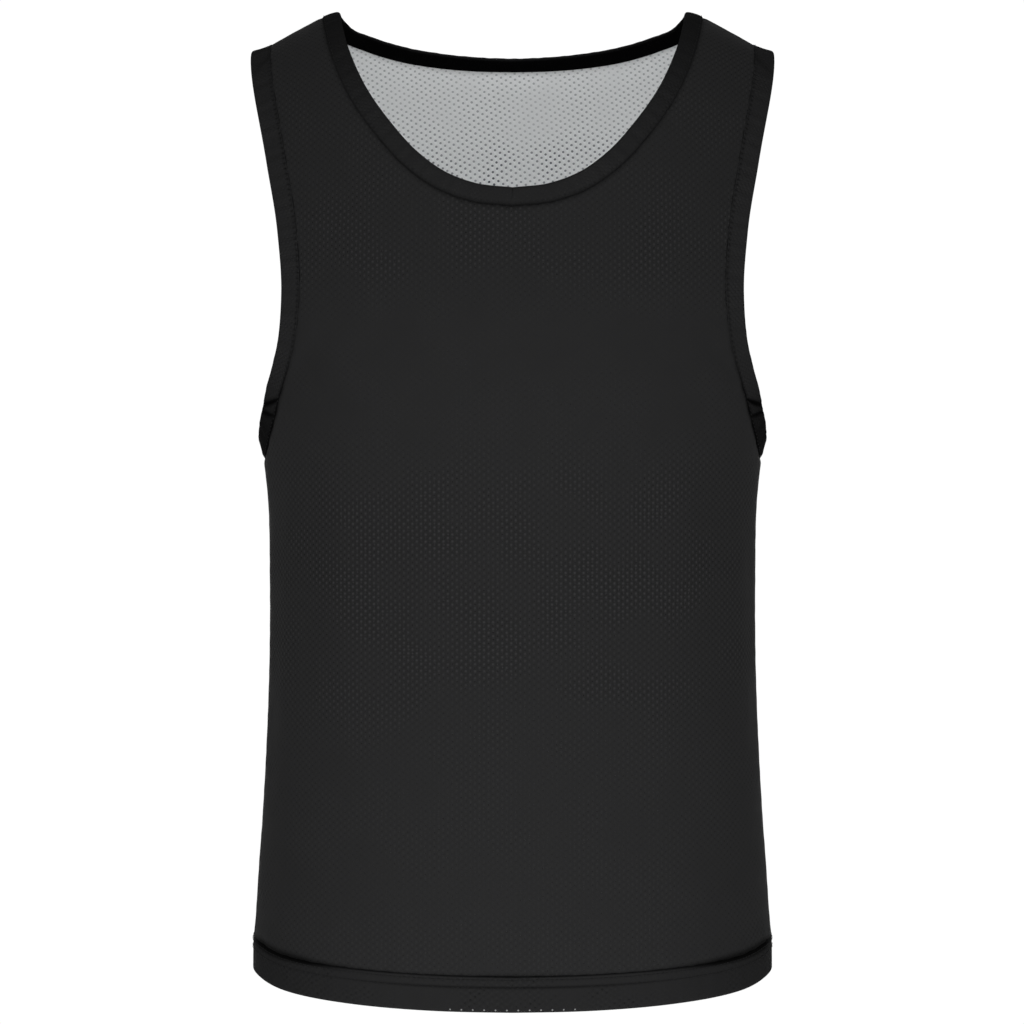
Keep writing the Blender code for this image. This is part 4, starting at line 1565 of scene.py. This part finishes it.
# ---------------------------------------------------------------- finishes
@dataclass(frozen=True)
class MeshFinish:
    """Eyelet mesh cloth: its yarn colour, the net's pitch, and how the eyelets show.

    Without a colour of their own, the eyelets are open.
    """

    name: str
    colour: tuple
    # colour of full painted shade
    shade_colour: tuple
    across: float
    up: float
    opening: float
    eyelet_colour: tuple = ()
    cover: float = 0.20
    roughness: float = 0.74
    rough_patches: float = 0.05
    rough_shade: float = 0.25
    specular: float = 0.07
    uneven: float = 0.0006
    patchiness: float = 0.05
    bump: float = 0.00032
    yarn_bump: float = 0.22
    loop: float = 0.0011
    # painted highlight on the knots and painted shade in the furrows
    knot_light: float = 0.0
    furrow_shade: float = 0.0
    net_levels: tuple = ()
    net_patches: float = 0.65
    net_turn: float = 0.0
    second_net: SlantedNet | None = None
    second_share: float = 0.35
    fold_holes: FoldHoles | None = None

    def build(self, groups: dict) -> bpy.types.Material:
        """Builds the material from the shared groups.

        Args:
            groups: the shader groups by effect.

        Returns:
            The material.
        """
        material, sheet, shader = new_finish(self.name)
        place = sheet.add("ShaderNodeUVMap", uv_map="UVMap").outputs[0]
        net = self.net(sheet, groups, place, SlantedNet(self.net_turn, self.across, self.up))
        eyelet, height = net.outputs["Eyelet"], net.outputs["Height"]
        if self.second_net:
            other = self.net(sheet, groups, place, self.second_net)
            low = sheet.math("ADD", self.second_share, other.outputs["Eyelet"])
            eyelet = sheet.math("MULTIPLY", eyelet, low)
            more = sheet.math("MULTIPLY", other.outputs["Height"], self.second_share)
            height = sheet.math("ADD", more, height)
        grain = sheet.group(groups[Effect.YARN_GRAIN], Place=place, Loop=self.loop)
        broad = grain.outputs["Patch"]
        shade = sheet.add("ShaderNodeAttribute", attribute_name="seam_shade").outputs["Fac"]
        patch = sheet.ramp(broad, 0.3, 0.7, 1.0 - self.patchiness, 1.0 + self.patchiness)
        clear = sheet.math("MULTIPLY", self.clearness(sheet, place),
                           sheet.ramp(broad, 0.38, 0.62, 1.0 - self.net_patches, 1.0))
        # painted highlight on the knots and painted shade in the furrows between the columns, as strong as
        # the net is clear
        knit_highlight_and_shade = sheet.math("SUBTRACT", sheet.math("MULTIPLY", net.outputs["Knot"], self.knot_light),
                           sheet.math("MULTIPLY", net.outputs["Furrow"], self.furrow_shade))
        tinted = sheet.add("ShaderNodeVectorMath", operation="SCALE")
        tinted.inputs[0].default_value = self.colour[:3]
        sheet.feed(tinted.inputs["Scale"], sheet.math("ADD", patch, sheet.math("MULTIPLY", knit_highlight_and_shade, clear)))
        colour, shown = tinted.outputs[0], sheet.math("MULTIPLY", eyelet, clear)
        if self.eyelet_colour:
            colour = sheet.blend(shown, colour, self.eyelet_colour)
        # painted shade: the seam_shade attribute blends the colour towards shade_colour
        sheet.feed(shader.inputs["Base Color"], sheet.blend(shade, colour, self.shade_colour))
        relief = sheet.math("ADD", sheet.math("MULTIPLY", height, clear),
                            sheet.math("MULTIPLY", grain.outputs["Height"], self.yarn_bump))
        sheet.feed(shader.inputs["Normal"], sheet.bumped(relief, self.bump))
        rough = sheet.ramp(broad, 0.3, 0.7, self.roughness - self.rough_patches,
                           self.roughness + self.rough_patches)
        rough = sheet.math("ADD", rough, sheet.math("MULTIPLY", shade, self.rough_shade))
        sheet.feed(shader.inputs["Roughness"], sheet.math("MINIMUM", 1.0, rough))
        shader.inputs["Specular IOR Level"].default_value = self.specular
        if not self.eyelet_colour:
            open_share = sheet.math("MULTIPLY", shown, 1.0 - self.cover)
            sheet.feed(shader.inputs["Alpha"], sheet.math("SUBTRACT", 1.0, open_share))
        elif self.fold_holes:
            sheet.feed(shader.inputs["Alpha"], sheet.math("SUBTRACT", 1.0, self.fold_row(sheet, place)))
        return material

    def clearness(self, sheet: ShaderSheet, place: bpy.types.NodeSocket) -> object:
        """How clear the net is up the cloth: the first level, and a smooth step for each next one.

        Args:
            sheet: sheet of the material.
            place: place on the cloth.

        Returns:
            An output, or a plain value where there are no levels.
        """
        if not self.net_levels:
            return 1.0
        height, clear = sheet.parts(place)[1], self.net_levels[0].clear
        for lower, upper in zip(self.net_levels, self.net_levels[1:]):
            step = sheet.ramp(height, lower.up, upper.up, 0.0, upper.clear - lower.clear)
            clear = sheet.math("ADD", step, clear)
        return clear

    def net(self, sheet: ShaderSheet, groups: dict, place: bpy.types.NodeSocket,
            net: SlantedNet) -> bpy.types.Node:
        """The eyelet group for a net, turned about the UV map's corner.

        Args:
            sheet: sheet of the material.
            groups: the shader groups by effect.
            place: place on the cloth.
            net: turn and pitches of the net.

        Returns:
            The group's node.
        """
        turned = sheet.add("ShaderNodeMapping")
        sheet.feed(turned.inputs["Vector"], place)
        turned.inputs["Rotation"].default_value = (0.0, 0.0, math.radians(net.degrees))
        return sheet.group(groups[Effect.EYELET_KNIT], Place=turned.outputs[0], Across=net.across,
                           Up=net.up, Opening=self.opening, Uneven=self.uneven)

    def fold_row(self, sheet: ShaderSheet, place: bpy.types.NodeSocket) -> bpy.types.NodeSocket:
        """Mask of the eyelets that the fold of the hem opens, near the middle of the edge.

        Args:
            sheet: sheet of the material.
            place: place on the cloth.

        Returns:
            Share of light that is let through.
        """
        holes, parts = self.fold_holes, sheet.parts(place)
        across = sheet.math("SUBTRACT", parts[0], 0.5)
        inside = sheet.math("LESS_THAN", sheet.math("ABSOLUTE", across), holes.reach)
        shifted = sheet.math("ADD", across, 0.5 * holes.pitch)
        nearest = sheet.math("PINGPONG", shifted, 0.5 * holes.pitch)
        rise = sheet.math("SUBTRACT", sheet.math("ABSOLUTE", parts[1]), holes.level)
        away = sheet.math("SQRT", sheet.math("ADD", sheet.math("POWER", nearest, 2.0),
                                             sheet.math("POWER", rise, 2.0)))
        spot = sheet.ramp(away, 0.6 * holes.radius, holes.radius, holes.clear, 0.0)
        return sheet.math("MULTIPLY", inside, spot)


@dataclass(frozen=True)
class ThreadFinish:
    """Plain sewing thread with twisted plies."""

    name: str
    colour: tuple
    # how much lighter the painted highlight on the plies is
    gleam: float = 1.6
    roughness: float = 0.55
    specular: float = 0.06
    ply: float = 900.0
    bump: float = 0.0001

    def build(self) -> bpy.types.Material:
        """Builds the material: fine slanting plies in bump and shade.

        Returns:
            The material.
        """
        material, sheet, shader = new_finish(self.name)
        grain = sheet.noise(sheet.add("ShaderNodeTexCoord").outputs["Object"], self.ply, 2.0)
        # painted highlight: noise lightens some plies by gleam
        lighter = tuple(min(1.0, self.gleam * part) for part in self.colour[:3]) + (1.0,)
        colour = sheet.blend(sheet.ramp(grain, 0.35, 0.65), self.colour, lighter)
        sheet.feed(shader.inputs["Base Color"], colour)
        sheet.feed(shader.inputs["Normal"], sheet.bumped(grain, self.bump))
        rough = sheet.ramp(grain, 0.3, 0.7, self.roughness, self.roughness + 0.1)
        sheet.feed(shader.inputs["Roughness"], rough)
        shader.inputs["Specular IOR Level"].default_value = self.specular
        return material


OUTER_MESH = MeshFinish(
    "black_eyelet_mesh", colour=(0.0140, 0.0140, 0.0143, 1.0), shade_colour=grey(0.002),
    across=0.0062, up=0.0048, opening=0.78, cover=0.50, knot_light=1.00, furrow_shade=0.22, net_patches=0.60,
    net_levels=rows(
        NetLevel,  # up, clear
        (0.18, 0.32), (0.27, 0.85), (0.32, 1.00), (0.36, 0.90), (0.43, 0.15), (0.49, 0.10), (0.54, 0.75),
        (0.62, 0.50)))
INNER_MESH = MeshFinish(
    "light_eyelet_mesh", colour=(0.91, 0.925, 0.93, 1.0), shade_colour=(0.10, 0.10, 0.11, 1.0),
    eyelet_colour=(0.09, 0.10, 0.12, 1.0), across=0.0068, up=0.0047, opening=0.38, uneven=0.0012,
    patchiness=0.03, specular=0.25, furrow_shade=0.10, net_patches=0.45, net_turn=-6.0,
    net_levels=rows(
        NetLevel,  # up, clear
        (0.620, 1.0), (0.660, 0.60), (0.690, 0.50)))
HEM_MESH = MeshFinish(
    "black_folded_mesh", colour=(0.0141, 0.0141, 0.0144, 1.0), shade_colour=grey(0.0010),
    eyelet_colour=(0.0075, 0.0075, 0.0078, 1.0), across=0.0062, up=0.0042, opening=0.50, uneven=0.0042,
    specular=0.03, knot_light=0.10, furrow_shade=0.08, net_patches=0.85,
    second_net=SlantedNet(degrees=6.0, across=0.0064, up=0.0052),
    fold_holes=FoldHoles(pitch=0.00773, reach=0.046, level=0.0016, radius=0.0008, clear=0.50))
BAND_MESH = MeshFinish(
    "black_bias_mesh", colour=(0.0149, 0.0149, 0.0152, 1.0), shade_colour=(0.0010, 0.0010, 0.0011, 1.0),
    eyelet_colour=grey(0.024), across=0.0042, up=0.0036, opening=0.62, specular=0.02,
    second_net=SlantedNet(degrees=41.0, across=0.0047, up=0.0036))
SEWING_THREAD = ThreadFinish("black_thread", colour=(0.0085, 0.0085, 0.0087, 1.0))


# ---------------------------------------------------------------- the bib
@dataclass
class TrainingBib:
    """The whole bib: panels, bands, hems and thread; the panels, bands and hems stand for their CAD nodes."""

    form: BodyForm = field(default_factory=BodyForm)
    cells: PanelCells = PanelCells(neck=52, strap=26, underarm=20, side=124, chest=64, shoulder=52)
    inner_cells_share: float = 0.62
    inner_depth: float = 0.0014
    inner_hem_drop: float = 0.0193
    thread: Thread = field(default_factory=Thread)
    neck_width: float = 0.0132
    armhole_width: float = 0.0160
    neck_lean: tuple = rows(
        EdgeLean,  # share, degrees
        (0.00, -6.0), (0.35, -6.0), (0.52, -12.0), (0.62, -26.0), (0.80, -34.0), (1.00, -58.0),
    )
    armhole_lean: tuple = rows(
        EdgeLean,  # share, degrees
        (0.00, 23.0), (0.08, 16.0), (0.20, 10.0), (0.38, 6.0), (0.50, 15.0), (0.62, 6.0), (0.80, 10.0),
        (0.92, 16.0), (1.00, 23.0),
    )
    neck_ditch: tuple = rows(
        Ditch,  # place, width, depth
        (0.00, 0.0018, 0.0014), (0.30, 0.0013, 0.0011), (0.55, 0.0016, 0.0012), (1.00, 0.0012, 0.0010),
    )
    armhole_ditch: tuple = rows(
        Ditch,  # place, width, depth
        (0.00, 0.0010, 0.0002), (0.20, 0.0010, 0.0002), (0.34, 0.0012, 0.0006), (0.40, 0.0030, 0.0020),
        (0.45, 0.0058, 0.0024), (0.49, 0.0040, 0.0020), (0.57, 0.0020, 0.0014), (0.66, 0.0012, 0.0006),
        (1.00, 0.0010, 0.0002),
    )
    armhole_pinches: tuple = rows(
        Pinch,  # share, depth, spread, shade, slant
        (0.405, 0.0018, 0.0026, 0.80, 1.05), (0.424, 0.0008, 0.0022, 0.40, 0.55),
        (0.590, 0.0012, 0.0026, 0.55, -0.70), (0.022, 0.0008, 0.0036, 0.20, 0.60),
        (0.055, 0.0006, 0.0040, 0.15, 0.80),
    )
    armhole_shadow: tuple = rows(
        Amount,  # place, value
        (0.00, 0.28), (0.05, 0.20), (0.12, 0.04), (0.20, 0.00), (0.37, 0.04), (0.405, 0.20), (0.43, 0.62),
        (0.455, 0.78), (0.49, 0.72), (0.52, 0.50), (0.58, 0.15), (0.80, 0.02), (1.00, 0.28),
    )
    neck_shadow: tuple = rows(
        Amount,  # place, value
        (0.00, 0.00), (0.15, 0.05), (0.30, 0.18), (0.42, 0.42), (0.56, 0.58), (0.64, 0.50), (0.80, 0.20),
        (1.00, 0.10),
    )

    def seam_loop(self, halves: list[tuple[Side, Array]]) -> tuple[Array, Array]:
        """Points and normals along seam lines in turn, joined into one line."""
        made = [self.form.face(side, line[:, 0], line[:, 1]) for side, line in halves]
        return np.concatenate([p for p, _ in made]), np.concatenate([n for _, n in made])

    def neck_loop(self) -> tuple[Array, Array]:
        """The closed neck seam, from the front centre over the left shoulder and round.

        Returns:
            Points of the seam, and the outward normals there.
        """
        front, back = self.form.half_lines(Side.FRONT).neck, self.form.half_lines(Side.BACK).neck
        flip = np.array([-1.0, 1.0])
        return self.seam_loop([(Side.FRONT, front), (Side.BACK, back[-2::-1]),
                               (Side.BACK, back[1:] * flip), (Side.FRONT, front[-2:0:-1] * flip)])

    def armhole_loop(self, mirror: float) -> tuple[Array, Array]:
        """One closed armhole seam, down the front and up the back, or the other way on the right.

        Args:
            mirror: 1 for the left armhole and -1 for the right.

        Returns:
            Points of the seam, and the outward normals there.
        """
        front, back = self.form.half_lines(Side.FRONT).armhole, self.form.half_lines(Side.BACK).armhole
        flip = np.array([mirror, 1.0])
        points, normal = self.seam_loop([(Side.FRONT, front[::-1] * flip), (Side.BACK, back[1:-1] * flip)])
        return (points, normal) if mirror > 0.0 else (points[::-1], normal[::-1])

    def build_panels(self, black: bpy.types.Material, light: bpy.types.Material) -> None:
        """The four panels, each as a declared sheet.

        Args:
            black: finish of the outer panels.
            light: finish of the inner layers.
        """
        cut = {
            (Side.FRONT, Layer.OUTER): ((0.518, 0.7377), 0.2535),
            (Side.BACK, Layer.OUTER): ((0.4942, 0.7255), 0.2669),
            (Side.FRONT, Layer.INNER): ((0.518, 0.7570), 0.2609),
            (Side.BACK, Layer.INNER): ((0.4942, 0.7448), 0.2741),
        }
        for (side, layer), (flat, area) in cut.items():
            outer = layer is Layer.OUTER
            panel = MeshPanel(
                self.form, side, layer, self.cells if outer else self.cells.scaled(self.inner_cells_share),
                depth=0.0 if outer else self.inner_depth, hem_drop=0.0 if outer else self.inner_hem_drop)
            piece = declare(panel.build(black if outer else light),
                            "black_mesh" if outer else "light_mesh", panel.name)

    def build_bands(self, band: bpy.types.Material, thread: bpy.types.Material) -> None:
        """The neck band and both armhole bands with their stitches.

        Args:
            band: finish of the bands.
            thread: finish of the stitches.
        """
        neck = BoundEdge("neck_band", self.neck_width, self.neck_lean, self.neck_ditch, self.neck_shadow,
                         halves=True, inside_shade=0.97, hole_shade=0.30)
        edges = [(neck, self.neck_loop())]
        for name, mirror in (("armhole_band_left", 1.0), ("armhole_band_right", -1.0)):
            edge = BoundEdge(name, self.armhole_width, self.armhole_lean, self.armhole_ditch,
                             self.armhole_shadow, halves=False, pinches=self.armhole_pinches,
                             up_the_front=mirror < 0.0)
            edges.append((edge, self.armhole_loop(mirror)))
        for edge, (seam, normal) in edges:
            piece, stitches = edge.build(seam, normal, band, self.thread, thread)
            declare(piece, "black_band", edge.name)
            declare(stitches, "black_band")

    def build_hems(self, mesh: bpy.types.Material, thread: bpy.types.Material) -> None:
        """Both hems with their stitch lines.

        Args:
            mesh: finish of the hems.
            thread: finish of the stitches.
        """
        for side in Side:
            hem = TurnedHem(self.form, side)
            piece, *lines = hem.build(mesh, self.thread, thread)
            declare(piece, "black_mesh", hem.name)
            for line in lines:
                declare(line, "black_mesh")


# ---------------------------------------------------------------- studio
@dataclass(frozen=True)
class SoftLamp:
    """A large square lamp, aimed at a place on the bib."""

    name: str
    place: tuple
    aim: tuple
    size: float
    power: float

    def build(self) -> bpy.types.Object:
        """Makes the lamp.

        Returns:
            The object that holds the lamp.
        """
        lamp = bpy.data.lights.new(self.name, "AREA")
        lamp.shape = "SQUARE"
        lamp.size = self.size
        lamp.energy = self.power
        holder = bpy.data.objects.new(self.name, lamp)
        holder.visible_camera = False
        bpy.context.scene.collection.objects.link(holder)
        holder.location = self.place
        holder.rotation_mode = "QUATERNION"
        aim = Vector(self.aim) - Vector(self.place)
        holder.rotation_quaternion = aim.to_track_quat("-Z", "Y")
        return holder


@dataclass(frozen=True)
class Studio:
    """Pale floor, even white surroundings, soft lamps and the camera."""

    floor_height: float = -1.30
    floor_radius: float = 2.4
    floor_rings: int = 24
    floor_spokes: int = 72
    surround: float = 1.02
    ambient: float = 0.405
    floor_colour: tuple = grey(0.80)
    floor_glow: tuple = grey(0.28)
    rim_start: float = 1.35
    camera_distance: float = 2.400
    camera_height: float = -0.357
    camera_offset: float = -0.0004
    pixels_per_metre: float = 1390.0
    frame_pixels: float = 1024.0
    sensor: float = 36.0
    lamps: tuple = rows(
        SoftLamp,  # name, place, aim, size, power
        ("front_lamp", (0.0, -1.36, -1.08), (0.0, 0.0, -0.64), 0.8, 16.3),
        ("top_lamp", (0.0, -1.6, 1.15), (0.0, 0.08, -0.12), 0.7, 9.9),
        ("back_lamp", (0.0, 2.3, -0.30), (0.0, 0.0, -0.40), 1.6, 21.0),
    )

    def build(self) -> None:
        """Builds the surroundings, the floor, the lamps and the camera."""
        self.build_surround()
        self.build_floor()
        for lamp in self.lamps:
            lamp.build()
        self.build_camera()

    def build_surround(self) -> None:
        """White to the camera and an even soft light for all else."""
        world = bpy.data.worlds.new("studio")
        bpy.context.scene.world = world
        world.use_nodes = True
        sheet = ShaderSheet(world.node_tree)
        ground = world.node_tree.nodes["Background"]
        ground.inputs["Color"].default_value = grey(1.0)
        seen = sheet.add("ShaderNodeLightPath").outputs["Is Camera Ray"]
        more = sheet.math("MULTIPLY", seen, self.surround - self.ambient)
        sheet.feed(ground.inputs["Strength"], sheet.math("ADD", self.ambient, more))
        bpy.context.scene.view_settings.view_transform = "Standard"

    def build_floor(self) -> bpy.types.Object:
        """A round pale floor whose rim glows as white as the surroundings.

        Returns:
            The floor.
        """
        turn = np.linspace(0.0, TURN, self.floor_spokes, endpoint=False)
        radius = np.linspace(0.0, self.floor_radius, self.floor_rings + 1)[1:]
        points = np.stack([radius[:, None] * np.cos(turn), radius[:, None] * np.sin(turn),
                           np.full((self.floor_rings, self.floor_spokes), self.floor_height)], axis=-1)
        rings = grid_faces(self.floor_rings, self.floor_spokes, ring=False).tolist()
        finish, sheet, shader = new_finish("pale_floor")
        shader.inputs["Roughness"].default_value = 0.9
        shader.inputs["Specular IOR Level"].default_value = 0.1
        shader.inputs["Emission Strength"].default_value = 1.0
        reach = sheet.add("ShaderNodeVectorMath", operation="LENGTH")
        sheet.feed(reach.inputs[0], sheet.add("ShaderNodeTexCoord").outputs["Object"])
        rim = sheet.ramp(reach.outputs["Value"], self.rim_start, self.floor_radius)
        sheet.feed(shader.inputs["Base Color"], sheet.blend(rim, self.floor_colour, grey(0.0)))
        sheet.feed(shader.inputs["Emission Color"], sheet.blend(rim, self.floor_glow, grey(1.0)))
        mesh = bpy.data.meshes.new("floor")
        mesh.from_pydata(points.reshape(-1, 3).tolist(), [], [list(range(self.floor_spokes))] + rings)
        mesh.materials.append(finish)
        floor = bpy.data.objects.new("floor", mesh)
        bpy.context.scene.collection.objects.link(floor)
        return floor

    def build_camera(self) -> None:
        """A long lens square to the bib, at the photo's distance."""
        lens = bpy.data.cameras.new("camera")
        lens.sensor_width = self.sensor
        lens.lens = self.sensor * self.camera_distance * self.pixels_per_metre / self.frame_pixels
        camera = bpy.data.objects.new("camera", lens)
        bpy.context.scene.collection.objects.link(camera)
        camera.location = (self.camera_offset, -self.camera_distance, self.camera_height)
        camera.rotation_euler = (QUARTER_TURN, 0.0, 0.0)
        bpy.context.scene.camera = camera


def main() -> None:
    """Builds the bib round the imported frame, and the studio."""
    logging.basicConfig(level=logging.INFO, format="%(name)s: %(message)s")
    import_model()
    shape = KnitShape()
    groups = {Effect.EYELET_KNIT: build_eyelet_knit(shape), Effect.YARN_GRAIN: build_yarn_grain(shape)}
    black, light, hem, band = (finish.build(groups)
                               for finish in (OUTER_MESH, INNER_MESH, HEM_MESH, BAND_MESH))
    thread = SEWING_THREAD.build()
    bib = TrainingBib()
    bib.build_panels(black, light)
    bib.build_bands(band, thread)
    bib.build_hems(hem, thread)
    Studio().build()
    bpy.context.view_layer.update()


if __name__ == "__main__":
    main()
